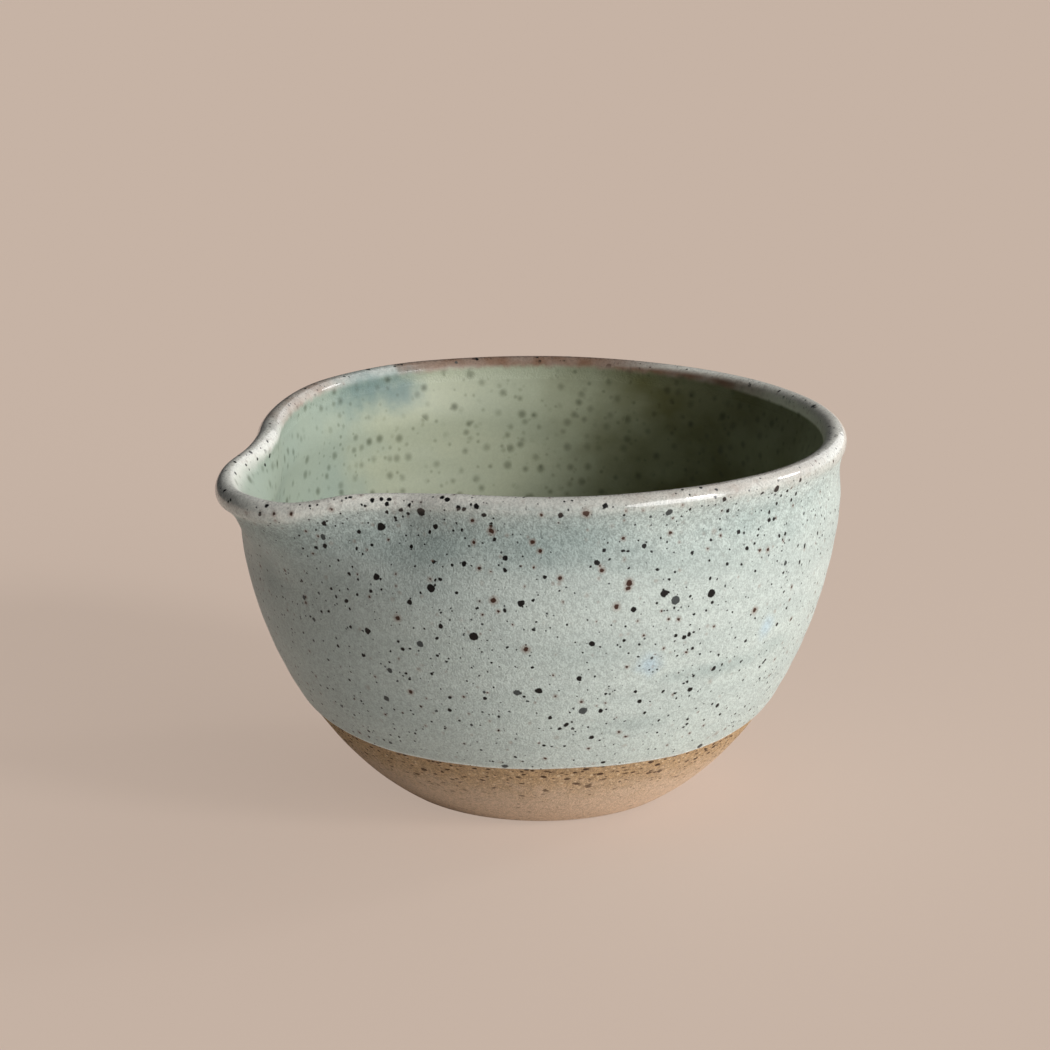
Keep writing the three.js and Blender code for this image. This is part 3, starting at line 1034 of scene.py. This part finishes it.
@effect("Single Grain", place="VECTOR", centre="VECTOR", width="VALUE", cores="VALUE", stains="VALUE")
def single_grain(nodes, place, centre, width, cores, stains):
    """One grain that stands out, its core and the stain round it, added to the grains before it."""
    apart = nodes.vector("DISTANCE", place, centre, output="Value")
    core = nodes.smooth(apart, width * 0.5 + GRAIN_SOFT, width * 0.5 - GRAIN_SOFT)
    stain = nodes.smooth(apart, width * HALO_GONE + HALO_SOFT, width * HALO_FULL)
    return {"Cores": nodes.most(cores, core), "Stains": nodes.most(stains, stain)}


@effect("Soft Pool", place="VECTOR", centre="VECTOR", along="VALUE", up="VALUE", ragged="VALUE")
def soft_pool(nodes, place, centre, along, up, ragged):
    """A place where the coat has run together, longer along the rings than up the wall."""
    x, y, z = nodes.separate(nodes.vector("SUBTRACT", place, centre))
    level = nodes.math("SQRT", x * x + y * y) / along
    rise = z / up
    apart = nodes.math("SQRT", level * level + rise * rise)
    apart = apart + (nodes.noise(place, size=2.6, detail=3.0) - 0.5) * ragged
    return {"Share": nodes.smooth(apart, 1.0, 0.0)}


# Sugary crystals: the scale of the coarse ones, the share of the fine ones and the noise that they fill
COARSE_SCALE = 0.38
FINE_SHARE = 0.65
CRYSTAL_RANGE = (0.3, 0.7)

# Noise that the ring clouds fill
CLOUD_RANGE = (0.34, 0.68)


@effect("Sugar Grain", place="VECTOR", size="VALUE")
def sugar_grain(nodes, place, size):
    """Fine sugary crystals of a satin glaze, from -1 to 1."""
    fine = nodes.noise(place, size)
    coarse = nodes.add("ShaderNodeTexNoise", {"Vector": place, "Scale": COARSE_SCALE / size, "Detail": 1.0})
    both = fine * FINE_SHARE + nodes.field(coarse) * (1 - FINE_SHARE)
    return {"Grain": nodes.smooth(both, *CRYSTAL_RANGE) * 2 - 1}


@effect("Ring Clouds", place="VECTOR", width="VALUE", rise="VALUE")
def ring_clouds(nodes, place, width, rise):
    """Soft level clouds that follow the throwing rings, from 0 to 1."""
    x, y, z = nodes.separate(place)
    flat = nodes.combine(x / width, y / width, z / rise)
    cloud = nodes.add("ShaderNodeTexNoise", {"Vector": flat, "Scale": 1.0, "Detail": 3.0, "Roughness": 0.55})
    return {"Cloud": nodes.smooth(nodes.field(cloud), *CLOUD_RANGE)}


class Clouds(NamedTuple):
    """Ring clouds in a coat: the part of the noise that they are taken from, their width and rise in
    millimetres, and how much of a colour they bring."""

    shift: tuple
    width: float
    rise: float
    share: float


HANG_MIST = Clouds((11, 47, 5), 15, 8, 0.42)
RING_BLUE = Clouds((0, 0, 0), 34, 5, 0.2)
MILK = Clouds((70, 20, 31), 22, 14, 0.4)
LINER_MIST = Clouds((5, 3, 50), 20, 12, 0.15)


def clouds(nodes, place, kind):
    """One kind of ring clouds, from 0 to 1."""
    moved = nodes.vector("ADD", place, kind.shift)
    return ring_clouds(nodes, place=moved, width=kind.width, rise=kind.rise)[0]


def degrees_round(nodes, place):
    """Degrees round the bowl from the spout towards its far side."""
    x, y, _ = nodes.separate(place)
    return nodes.math("FLOORED_MODULO", nodes.math("ARCTAN2", y, -x) * math.degrees(1), 360)


def degrees_beside(nodes, turned):
    """Degrees round the bowl on both sides of the spout, less than 0 on its near side."""
    return nodes.math("WRAP", turned, 180, -180)


class Span(NamedTuple):
    """A stretch where a look shows: where it starts, is full, starts to fade and is gone."""

    start: float
    full: float
    fading: float
    gone: float


class Bare(NamedTuple):
    """A stretch of the lip mixed towards brown, mostly where the clay shows through: how much all over, and
    how much more in patches.
    """

    span: Span
    share: float
    patches: float


# Stretches round the bowl, in degrees from the spout towards its far side
BROWN_TOP = Bare(Span(88.8, 90.4, 132, 160), 0.8, 0.2)
BROWN_EDGE = Bare(Span(88.8, 90.4, 164, 190), 0.6, 0.4)
# From 36 to 82 degrees the lip is mixed darker and browner
DARKER_LIP_PAST_SPOUT = Bare(Span(36, 46, 70, 82), 0.35, 0.35)
FRONT_LIP = Bare(Span(234, 246, 272, 305), 0.22, 0.2)
# Beside the spout and on the far side the lip is paler: painted light
LIT_LIP_BESIDE_SPOUT = Span(-62, -34, -16, -3)
LIT_LIP_FAR_SIDE = Span(138, 158, 212, 240)
# Where the lip's colour reaches further in: partly a broader lip, partly painted light on its inner slope
BROAD_AND_LIT_LIP = Span(145, 185, 240, 270)
# Where the inside turns dark olive: partly the coat's own tone, partly painted shade
OLIVE_SHADE_SIDE = Span(112, 158, 165, 245)
BLUE_FAR_SIDE = (88, 66)
BLUE_NEAR_SIDE = (284, 300)
THROAT = (30, 8)

# Stretches below the lip along the section, in millimetres. The inside of the bowl counts as less than 0.
HANG = Span(4, 8, 10, 26)
INNER_EDGE = (-0.6, -2.4)
OUTER_PART = (-3.2, -0.8)
INNER_PART = (-1.6, -3.6)
LIP_RUN = (4.6, 1.6)
LOW_LIP = (2.0, 4.8)
HIGH_WALL = (20, 6)
DULL_OUTSIDE = (3.0, 5.0)
DULL_INSIDE = (-0.8, -2.6)

# The liner starts and is full this far over the lip, further at the throat and where the pale lip is broad,
# where the broad pale lip is partly painted light on its inner slope
LINER_START = -2.0
LINER_FULL = -3.4
THROAT_START = 1.2
THROAT_FULL = 5.0
BROAD_START = 1.2
BROAD_FULL = 0.7

# How ragged the coats run into each other, in millimetres, and how much of that the lip and the liner take
RAGGED = 3
LIP_RAGGED = 0.7
LINER_RAGGED = 0.5
BROAD_SMOOTHING = 0.4

# Heights in millimetres between which the liner's tones grow up the wall, and the degrees that they drift
LINER_WALL = (14, 40)
LINER_DRIFT = 22

# Noise that the lip's bare patches and its rusty blush fill, and the part of the noise for that blush
LIP_PATCHES = (0.3, 0.7)
LIP_BLUSH = (0.56, 0.74)
BLUSH_SHIFT = (31, 7, 2)

# Shares of a colour: blue where the celadon hangs, rust on the lip, and blue and olive in the liner, where
# the olive is partly painted shade
HANG_SHARE = 0.3
LIP_BLUSH_SHARE = 0.25
LINER_BLUE_SHARE = 0.8
OLIVE_SHADE_SHARE = 0.75


@effect("Celadon Colour", place="VECTOR", below="VALUE", body="RGBA", blue="RGBA", pale="RGBA")
def celadon_colour(nodes, place, below, body, blue, pale):
    """The outside coat, bluer where it hangs thick under the lip and in the rings."""
    mist = clouds(nodes, place, HANG_MIST)
    hang = nodes.within(below, HANG) * (HANG_SHARE + HANG_MIST.share * mist)
    thick = hang + clouds(nodes, place, RING_BLUE) * RING_BLUE.share
    colour = nodes.mix(thick, body, blue)
    return {"Colour": nodes.mix(clouds(nodes, place, MILK) * MILK.share, colour, pale)}


@effect("Lip Colour", place="VECTOR", below="VALUE", cream="RGBA", pale="RGBA", brown="RGBA", rust="RGBA")
def lip_colour(nodes, place, below, cream, pale, brown, rust):
    """The thin coat over the lip, paler beside the spout and on the far side, which is painted light, with
    the clay's brown showing through at the back.
    """
    turned = degrees_round(nodes, place)
    patch = nodes.smooth(nodes.noise(place, size=7.0), *LIP_PATCHES)
    shares = []
    for bare in (BROWN_TOP, BROWN_EDGE, DARKER_LIP_PAST_SPOUT, FRONT_LIP):
        here = nodes.within(turned, bare.span)
        if bare is BROWN_EDGE:
            here = here * nodes.smooth(below, *INNER_EDGE)
        shares.append(here * (bare.share + bare.patches * patch))
    beside = degrees_beside(nodes, turned)
    # Painted light: the lip is paler beside the spout and on the far side
    milky = nodes.most(nodes.within(beside, LIT_LIP_BESIDE_SPOUT), nodes.within(turned, LIT_LIP_FAR_SIDE))
    colour = nodes.mix(nodes.most(*shares), nodes.mix(milky, cream, pale), brown)
    blush = nodes.noise(nodes.vector("ADD", place, BLUSH_SHIFT), size=1.5, detail=3.0)
    return {"Colour": nodes.mix(nodes.smooth(blush, *LIP_BLUSH) * LIP_BLUSH_SHARE, colour, rust)}


@effect("Liner Colour", place="VECTOR", body="RGBA", blue="RGBA", olive="RGBA")
def liner_colour(nodes, place, body, blue, olive):
    """The inside coat: blue-green by the spout, yellower at the back, a dark olive past it that is partly the
    coat's own tone and partly painted shade, and even on the floor.
    """
    turned = degrees_round(nodes, place) + (nodes.noise(place, size=9.0) - 0.5) * LINER_DRIFT
    _, _, height = nodes.separate(place)
    wall = nodes.smooth(height, *LINER_WALL)
    spout_side = nodes.most(nodes.smooth(turned, *BLUE_FAR_SIDE), nodes.smooth(turned, *BLUE_NEAR_SIDE))
    mist = clouds(nodes, place, LINER_MIST)
    colour = nodes.mix(spout_side * wall * LINER_BLUE_SHARE + mist * LINER_MIST.share, body, blue)
    # Partly painted shade: the inside's far side is darkened towards olive
    dark = OLIVE_SHADE_SHARE + (1 - OLIVE_SHADE_SHARE) * mist
    return {"Colour": nodes.mix(nodes.within(turned, OLIVE_SHADE_SIDE) * wall * dark, colour, olive)}


def coat_colour(nodes, place, below, finish):
    """Colour of all coats before their specks, so that each runs into the next."""

    def tones(**keys):
        return {socket: shown(getattr(finish, key)) for socket, key in keys.items()}

    celadon = tones(body="celadon", blue="celadon_blue", pale="celadon_pale")
    edge = tones(cream="cream", pale="lip_pale_lit", brown="lip_brown", rust="rust")
    liner = tones(body="liner", blue="liner_blue", olive="liner_olive_shade")
    outside, = celadon_colour(nodes, place=place, below=below, **celadon)
    lip, = lip_colour(nodes, place=place, below=below, **edge)
    inside, = liner_colour(nodes, place=place, **liner)
    ragged = nodes.noise(place, size=2.4, detail=3.0) * RAGGED - RAGGED / 2
    colour = nodes.mix(nodes.smooth(below + ragged * LIP_RAGGED, *LIP_RUN), outside, lip)
    turned = degrees_round(nodes, place)
    throat = nodes.smooth(nodes.math("ABSOLUTE", degrees_beside(nodes, turned)), *THROAT)
    # Partly painted light: the pale lip reaches further over its inner slope on the far side
    broad = nodes.within(turned, BROAD_AND_LIT_LIP)
    start = LINER_START + throat * THROAT_START - broad * BROAD_START
    full = LINER_FULL - throat * THROAT_FULL - broad * BROAD_FULL
    depth = nodes.smooth(below + ragged * (LINER_RAGGED - broad * BROAD_SMOOTHING), start, full)
    return nodes.mix(depth, colour, inside)


def emptied(owner):
    """The nodes of a material or a world, none yet."""
    owner.use_nodes = True
    owner.node_tree.nodes.clear()
    return Nodes(owner.node_tree)


def new_material(piece):
    """A piece's material emptied: its nodes, its shader, the place on the piece and how far below the lip it
    is. Both are in millimetres, and the inside of the bowl counts as less than 0."""
    nodes = emptied(piece.active_material)
    place = nodes.scale(nodes.field(nodes.add("ShaderNodeTexCoord"), "Object"), 1 / MM)
    below = nodes.field(nodes.add("ShaderNodeAttribute", attribute_name=FROM_LIP), "Fac") / MM
    shader = nodes.add("ShaderNodeBsdfPrincipled")
    nodes.add("ShaderNodeOutputMaterial", {"Surface": shader.outputs[0]}, is_active_output=True)
    return nodes, shader, place, below


def brighten(nodes, colour, value):
    """A colour made lighter or darker by a value that varies round 1."""
    return nodes.field(nodes.add("ShaderNodeHueSaturation", {"Value": value, "Color": colour}))


class Skin(NamedTuple):
    """How a surface takes light: its roughness, what its grain adds to that and its mirror level. Then its
    fine relief: its depth in metres, and how far its crystals stand up and its specks sink in it."""

    roughness: float
    grain: float
    mirror: float
    relief: float = 0.0
    crystals: float = 0.0
    pits: float = 0.0


CLAY_SKIN = Skin(0.82, 0.08, 0.2, 0.00006, 0.6, 0.6)
OUTSIDE_SKIN = Skin(0.45, 0.06, 0.25, 0.00005, 0.5, 0.6)
LIP_SKIN = Skin(0.3, 0.06, 0.3, 0.00004, 0.5, 0.5)
LINER_SKIN = Skin(0.45, 0.04, 0.3)

# How far the grog stands up in the clay's relief
GROG_RELIEF = 0.4

# Clear gloss on the lip, and how much duller the lip is where it runs into the other coats
LIP_GLOSS = 0.9
LIP_GLOSS_ROUGHNESS = 0.03
LIP_GLOSS_IOR = 1.7
LIP_DULL = 0.15

# Sizes of the grain in millimetres, and how much lighter and darker it makes each coat and its parts
COAT_GRAIN = 0.4
CLAY_GRAIN = 0.34
OUTSIDE_DEPTH = 0.19
HIGH_WALL_DEPTH = 0.12
LIP_DEPTH = 0.04
LIP_OUTER_DEPTH = 0.13
LOW_LIP_DEPTH = 0.14
LINER_DEPTH = 0.04

# Chance from which a speck is rusty and below which it stays under the coat, and the share of rust in a rusty
# speck's stain and in that of a grain which stands out
RUSTY = (0.86, 0.92)
UNDER = 0.2
RUST_SHARE = 0.45
HALO_SHARE = 0.6

# How ragged pools and spots are, where the painted highlight on the outside coat's rolled edge starts and is
# full, in millimetres above the glaze line, and that highlight's share
POOL_RAGGED = 0.5
SPOT_RAGGED = 0.6
EDGE_HIGHLIGHT = (1.5, 0.6)
EDGE_HIGHLIGHT_SHARE = 0.85

# Blush of the clay: how far it wanders and the heights that it grows between, in millimetres, and its share
BLUSH_WANDER = 8
BLUSH_RISE = (7, 19)
BLUSH_SHARE = 0.85

# Iron and smooth places in the clay are drawn out along the rings, so their noise is squeezed on the level
RING_SQUEEZE = 0.5


class Blushed(NamedTuple):
    """An amount on plain clay, and what the blush adds to it."""

    plain: float
    more: float

    def at(self, blush):
        """The amount for some blush."""
        return self.plain + self.more * blush


CLAY_DEPTH = Blushed(0.2, 0.16)
GROG_SHARE = Blushed(0.15, 0.6)
IRON_SIZE = Blushed(0.5, 0.5)
IRON_SHARE = Blushed(0.4, 0.55)


def dress(nodes, shader, skin, colour, grain, relief=None, dull=None):
    """Gives a shader its colour, its skin and, where it has one, its fine relief."""
    roughness = skin.roughness if dull is None else skin.roughness + dull
    nodes.feed(shader.inputs["Base Color"], colour)
    nodes.feed(shader.inputs["Roughness"], roughness + grain * skin.grain)
    shader.inputs["Specular IOR Level"].default_value = skin.mirror
    if relief is not None:
        bump = nodes.add("ShaderNodeBump", {"Height": relief, "Distance": skin.relief, "Strength": 1.0})
        nodes.feed(shader.inputs["Normal"], bump.outputs[0])


def specks(nodes, place, kind, radius):
    """One kind of specks with a radius that may vary: their cores, their stains and a chance for each."""
    return iron_specks(
        nodes, place=place, spacing=kind.spacing, radius=radius, ragged=kind.ragged, soft=kind.soft
    )


def sown(nodes, colour, place, below, finish):
    """A coat's colour with iron specks of several sizes in it, and a mask of the dark ones. Large ones
    keep to the far side, because those on the near side have places of their own, and none are inside."""
    outside = nodes.smooth(below, *OUTER_PART)
    x, y, _ = nodes.separate(place)
    towards = (x * NEAR_SIDE.x + y * NEAR_SIDE.y) / nodes.math("SQRT", x * x + y * y)
    near = nodes.smooth(towards, *NEAR_RANGE)
    cores = []
    for kind in COAT_SPECKS:
        core, stain, chance = specks(nodes, place, kind, kind.radius * (1 - near * (1 - kind.kept)))
        core = core * outside
        stain = stain * outside
        rusty = nodes.smooth(chance, *RUSTY)
        under = nodes.math("LESS_THAN", chance, UNDER)
        colour = nodes.mix(stain * rusty * RUST_SHARE, colour, shown(finish.rust))
        tone = nodes.mix(under, shown(finish.iron), shown(finish.iron_under))
        tone = nodes.mix(rusty, tone, shown(finish.rust_core))
        colour = nodes.mix(core, colour, tone)
        cores.append(core)
    return colour, nodes.most(*cores)


def marked(nodes, colour, place, finish, marks):
    """A coat's colour with the grains that stand out."""
    uneven = shaken(nodes, place, GRAIN_LUMPS, GRAIN_RAGGED)
    for tone, grains in marks.items():
        dark = halo = 0.0
        for centre, width in grains:
            dark, halo = single_grain(
                nodes, place=uneven, centre=centre, width=width, cores=dark, stains=halo
            )
        if grains and tone == "rust_core":
            colour = nodes.mix(halo * HALO_SHARE, colour, shown(finish.rust))
        colour = nodes.mix(dark, colour, shown(getattr(finish, tone)))
    return colour


def spotted(nodes, colour, place, below, finish):
    """The inside coat's colour with large soft spots in it."""
    inside = nodes.smooth(below, *INNER_PART)
    for kind, strength in LINER_SPOTS:
        core, _, chance = specks(nodes, place, kind, kind.radius)
        share = core * inside * (LEAST_SPOT + (1 - LEAST_SPOT) * chance) * strength
        colour = nodes.mix(share, colour, shown(finish.liner_spot), "MULTIPLY")
    return colour


def pooled(nodes, colour, place, pools, tone, ragged):
    """A coat's colour with the pools that stand out."""
    for pool in pools:
        _, centre = sighted(pool.across, pool.down)
        share, = soft_pool(
            nodes, place=place, centre=centre / MM, along=pool.along, up=pool.up, ragged=ragged
        )
        colour = nodes.mix(share * pool.share, colour, shown(tone))
    return colour


def outside_finish(piece, finish, line):
    """Satin celadon with sugary grain, pools and iron specks, and a painted highlight along its rolled edge
    at the glaze line.
    """
    nodes, shader, place, below = new_material(piece)
    colour = coat_colour(nodes, place, below, finish)
    colour = pooled(nodes, colour, place, WALL_POOLS, finish.celadon_blue, POOL_RAGGED)
    colour = pooled(nodes, colour, place, WALL_SPOTS, finish.celadon_spot, SPOT_RAGGED)
    # Painted highlight along the rolled edge at the glaze line
    edge = nodes.smooth(below, *(line / MM - above for above in EDGE_HIGHLIGHT))
    colour = nodes.mix(edge * EDGE_HIGHLIGHT_SHARE, colour, shown(finish.celadon_edge_highlight))
    grain, = sugar_grain(nodes, place=place, size=COAT_GRAIN)
    depth = OUTSIDE_DEPTH + HIGH_WALL_DEPTH * nodes.smooth(below, *HIGH_WALL)
    colour = brighten(nodes, colour, 1 + grain * depth)
    colour, dark = sown(nodes, colour, place, below, finish)
    colour = marked(nodes, colour, place, finish, marks_on(surface(piece), "outer_glaze"))
    relief = grain * OUTSIDE_SKIN.crystals - dark * OUTSIDE_SKIN.pits
    dress(nodes, shader, OUTSIDE_SKIN, colour, grain, relief)


def lip_finish(piece, finish):
    """Glossier cream coat that breaks over the lip."""
    nodes, shader, place, below = new_material(piece)
    colour = coat_colour(nodes, place, below, finish)
    colour = pooled(nodes, colour, place, WALL_POOLS, finish.celadon_blue, POOL_RAGGED)
    colour = pooled(nodes, colour, place, LINER_POOLS, finish.liner_teal, POOL_RAGGED)
    grain, = sugar_grain(nodes, place=place, size=COAT_GRAIN)
    depth = LIP_DEPTH + LIP_OUTER_DEPTH * nodes.smooth(below, *OUTER_PART)
    depth = depth + LOW_LIP_DEPTH * nodes.smooth(below, *LOW_LIP)
    colour = brighten(nodes, colour, 1 + grain * depth)
    colour = spotted(nodes, colour, place, below, finish)
    colour, dark = sown(nodes, colour, place, below, finish)
    colour = marked(nodes, colour, place, finish, marks_on(surface(piece), "rim_glaze"))
    ends = nodes.most(nodes.smooth(below, *DULL_OUTSIDE), nodes.smooth(below, *DULL_INSIDE))
    relief = grain * LIP_SKIN.crystals - dark * LIP_SKIN.pits
    dress(nodes, shader, LIP_SKIN, colour, grain, relief, ends * LIP_DULL)
    nodes.feed(shader.inputs["Coat Weight"], LIP_GLOSS - ends * LIP_GLOSS)
    shader.inputs["Coat Roughness"].default_value = LIP_GLOSS_ROUGHNESS
    shader.inputs["Coat IOR"].default_value = LIP_GLOSS_IOR


def liner_finish(piece, finish):
    """Olive coat inside with large soft spots."""
    nodes, shader, place, below = new_material(piece)
    colour = coat_colour(nodes, place, below, finish)
    colour = pooled(nodes, colour, place, LINER_POOLS, finish.liner_teal, POOL_RAGGED)
    grain, = sugar_grain(nodes, place=place, size=COAT_GRAIN)
    colour = brighten(nodes, colour, 1 + grain * LINER_DEPTH)
    colour = spotted(nodes, colour, place, below, finish)
    dress(nodes, shader, LINER_SKIN, colour, grain)


def clay_finish(piece, finish):
    """Bare fired stoneware with grog, iron grains and an orange blush under the glaze line."""
    nodes, shader, place, _ = new_material(piece)
    x, y, z = nodes.separate(place)
    level = nodes.combine(x * RING_SQUEEZE, y * RING_SQUEEZE, z)
    smoothed = nodes.noise(level, size=6.0, detail=4.0)
    colour = nodes.mix(smoothed, shown(finish.clay), shown(finish.clay_smooth))
    wander = nodes.noise(place, size=3.0, detail=3.0) * BLUSH_WANDER
    blush = nodes.smooth(z + wander - BLUSH_WANDER / 2, *BLUSH_RISE)
    colour = nodes.mix(blush * BLUSH_SHARE, colour, shown(finish.clay_flash))
    grain, = sugar_grain(nodes, place=place, size=CLAY_GRAIN)
    colour = brighten(nodes, colour, 1 + grain * CLAY_DEPTH.at(blush))
    grog, _, _ = specks(nodes, place, GROG, GROG.radius)
    colour = nodes.mix(grog * GROG_SHARE.at(blush), colour, shown(finish.clay_pale))
    cores = [specks(nodes, level, kind, kind.radius * IRON_SIZE.at(blush))[0] for kind in CLAY_SPECKS]
    dark = nodes.most(*cores)
    colour = nodes.mix(dark * IRON_SHARE.at(blush), colour, shown(finish.clay_iron))
    relief = grain * CLAY_SKIN.crystals + grog * GROG_RELIEF - dark * CLAY_SKIN.pits
    dress(nodes, shader, CLAY_SKIN, colour, grain, relief)


# Stage

LAMPS = ("key", "spark", "glint", "back")


def seen(nodes):
    """1 where the camera, a reflection or glass looks, and 0 for light on its way to the bowl."""
    path = nodes.add("ShaderNodeLightPath")
    looks = ("Is Camera Ray", "Is Glossy Ray", "Is Transmission Ray")
    return nodes.most(*(nodes.field(path, look) for look in looks))


def floor_material(look):
    """A pale floor that shows one even colour and a light shadow, and throws plain light back."""
    material = bpy.data.materials.new("pale_floor")
    nodes = emptied(material)
    level = look.sky
    for name in LAMPS:
        level += getattr(look, name) * math.sin(getattr(look, name + "_height")) / math.pi
    lit = [channel / level for channel in shown(look.floor)[:3]]
    shaded = nodes.add("ShaderNodeBsdfDiffuse", {"Color": (*lit, 1.0)})
    even = nodes.add("ShaderNodeEmission", {"Color": shown(look.floor), "Strength": 1.0})
    view = nodes.add("ShaderNodeMixShader", {0: look.shade, 1: even.outputs[0], 2: shaded.outputs[0]})
    place = nodes.field(nodes.add("ShaderNodeTexCoord"), "Object")
    far = nodes.vector("LENGTH", place, output="Value")
    near = nodes.smooth(far, look.bounce_end, look.bounce_start)
    thrown = nodes.mix(near, (0, 0, 0, 1), shown(look.bounce))
    plain = nodes.add("ShaderNodeBsdfDiffuse", {"Color": thrown})
    both = nodes.add("ShaderNodeMixShader", {0: seen(nodes), 1: plain.outputs[0], 2: view.outputs[0]})
    nodes.add("ShaderNodeOutputMaterial", {"Surface": both.outputs[0]})
    return material


def studio_world(look):
    """Weak light from all round, with the floor's colour behind the bowl."""
    world = bpy.data.worlds.new("studio")
    nodes = emptied(world)
    light = nodes.add("ShaderNodeBackground", {"Color": (1, 1, 1, 1), "Strength": look.sky})
    behind = nodes.add("ShaderNodeBackground", {"Color": shown(look.floor), "Strength": 1.0})
    camera = nodes.field(nodes.add("ShaderNodeLightPath"), "Is Camera Ray")
    both = nodes.add("ShaderNodeMixShader", {0: camera, 1: light.outputs[0], 2: behind.outputs[0]})
    nodes.add("ShaderNodeOutputWorld", {"Surface": both.outputs[0]})
    return world


# Operators


def bowl_section(context):
    """The section for the sizes in the scene."""
    return Section(context.scene.bowl_sizes)


class BOWL_OT_throw_clay(bpy.types.Operator):
    """Throw the stoneware body and pull its spout"""

    bl_idname = "bowl.throw_clay"
    bl_label = "Throw Clay"

    def execute(self, context):
        section = bowl_section(context)
        piece = throw("clay", section, section.clay(), "stoneware_body", "bare_stoneware")
        clay_finish(piece, context.scene.bowl_finish)
        return {"FINISHED"}


class BOWL_OT_pour_outside(bpy.types.Operator):
    """Coat the outside down to the glaze line"""

    bl_idname = "bowl.pour_outside"
    bl_label = "Pour Outside Coat"

    def execute(self, context):
        section = bowl_section(context)
        full = section.sizes.outer_glaze

        def thickness(before, after):
            near = 1 - min(before / ROLL_WIDTH, 1)
            thin = 1 - THIN_SHARE * max(0, 1 - before / THIN_REACH) ** 2
            return full * thin * math.sqrt(max(1 - near * near, 0))

        points = section.coat("outside", thickness)
        piece = throw("outside_coat", section, points, "outer_glaze", "pale_celadon_glaze")
        outside_finish(piece, context.scene.bowl_finish, section.from_lip[section.borders["outside"][0]])
        return {"FINISHED"}


class BOWL_OT_brush_lip(bpy.types.Operator):
    """Coat the lip and the spout's edge"""

    bl_idname = "bowl.brush_lip"
    bl_label = "Brush Lip"

    def execute(self, context):
        section = bowl_section(context)
        sizes = section.sizes

        def thickness(before, after):
            start = sizes.outer_glaze - sizes.rim_glaze
            end = sizes.liner_glaze - sizes.rim_glaze
            thicker = start * max(0, 1 - before / LIP_EASE) ** 2 + end * max(0, 1 - after / LIP_EASE) ** 2
            return sizes.rim_glaze + thicker

        points = section.coat("lip", thickness)
        piece = throw("lip_coat", section, points, "rim_glaze", "warm_rim_glaze")
        lip_finish(piece, context.scene.bowl_finish)
        return {"FINISHED"}


class BOWL_OT_pour_liner(bpy.types.Operator):
    """Coat the inside from the lip to the floor"""

    bl_idname = "bowl.pour_liner"
    bl_label = "Pour Liner"

    def execute(self, context):
        section = bowl_section(context)
        full = section.sizes.liner_glaze
        points = section.coat("inside", lambda before, after: full)
        piece = throw("liner_coat", section, points, "liner_glaze", "olive_liner_glaze")
        liner_finish(piece, context.scene.bowl_finish)
        return {"FINISHED"}


class BOWL_OT_set_stage(bpy.types.Operator):
    """Lay the floor, hang the lights and point the camera"""

    bl_idname = "bowl.set_stage"
    bl_label = "Set Stage"

    def execute(self, context):
        scene = context.scene
        look = scene.bowl_stage
        scene.view_settings.view_transform = "Standard"

        mesh = bpy.data.meshes.new("floor")
        reach = look.floor_reach
        corners = [(-reach, -reach, 0), (reach, -reach, 0), (reach, reach, 0), (-reach, reach, 0)]
        mesh.from_pydata(corners, [], [(0, 1, 2, 3)])
        floor = placed("floor", mesh)
        mesh.materials.append(floor_material(look))
        scene.world = studio_world(look)

        for name in LAMPS:
            light = bpy.data.lights.new(name, "SUN")
            light.energy = getattr(look, name)
            light.angle = getattr(look, name + "_size")
            lamp = placed(name, light)
            tilt = math.pi / 2 - getattr(look, name + "_height")
            lamp.rotation_euler = (tilt, 0, getattr(look, name + "_azimuth"))

        data = bpy.data.cameras.new("camera")
        data.lens = look.lens
        camera = placed("camera", data)
        camera.matrix_world = camera_view(look)
        scene.camera = camera
        return {"FINISHED"}


class BOWL_PT_panel(bpy.types.Panel):
    """The bowl's pieces and stage"""

    bl_idname = "BOWL_PT_panel"
    bl_label = "Spouted Matcha Bowl"
    bl_space_type = "VIEW_3D"
    bl_region_type = "UI"
    bl_category = "Bowl"

    def draw(self, context):
        for operator in OPERATORS:
            self.layout.operator(operator.bl_idname)
        for group in (context.scene.bowl_sizes, context.scene.bowl_finish, context.scene.bowl_stage):
            column = self.layout.column(align=True)
            for key in group.__annotations__:
                column.prop(group, key)


OPERATORS = (
    BOWL_OT_throw_clay,
    BOWL_OT_pour_outside,
    BOWL_OT_brush_lip,
    BOWL_OT_pour_liner,
    BOWL_OT_set_stage,
)
GROUPS = {"bowl_sizes": BowlSizes, "bowl_finish": BowlFinish, "bowl_stage": StageLook}


def register():
    """Adds the classes and the scene's properties."""
    for cls in (*GROUPS.values(), *OPERATORS, BOWL_PT_panel):
        bpy.utils.register_class(cls)
    for key, cls in GROUPS.items():
        setattr(bpy.types.Scene, key, PointerProperty(type=cls))


def unregister():
    """Takes them away again."""
    for key in GROUPS:
        delattr(bpy.types.Scene, key)
    for cls in (BOWL_PT_panel, *reversed(OPERATORS), *reversed(list(GROUPS.values()))):
        bpy.utils.unregister_class(cls)


def main():
    """Makes the bowl and its stage."""
    register()
    bpy.ops.bowl.throw_clay()
    bpy.ops.bowl.pour_outside()
    bpy.ops.bowl.brush_lip()
    bpy.ops.bowl.pour_liner()
    bpy.ops.bowl.set_stage()


if __name__ == "__main__":
    main()
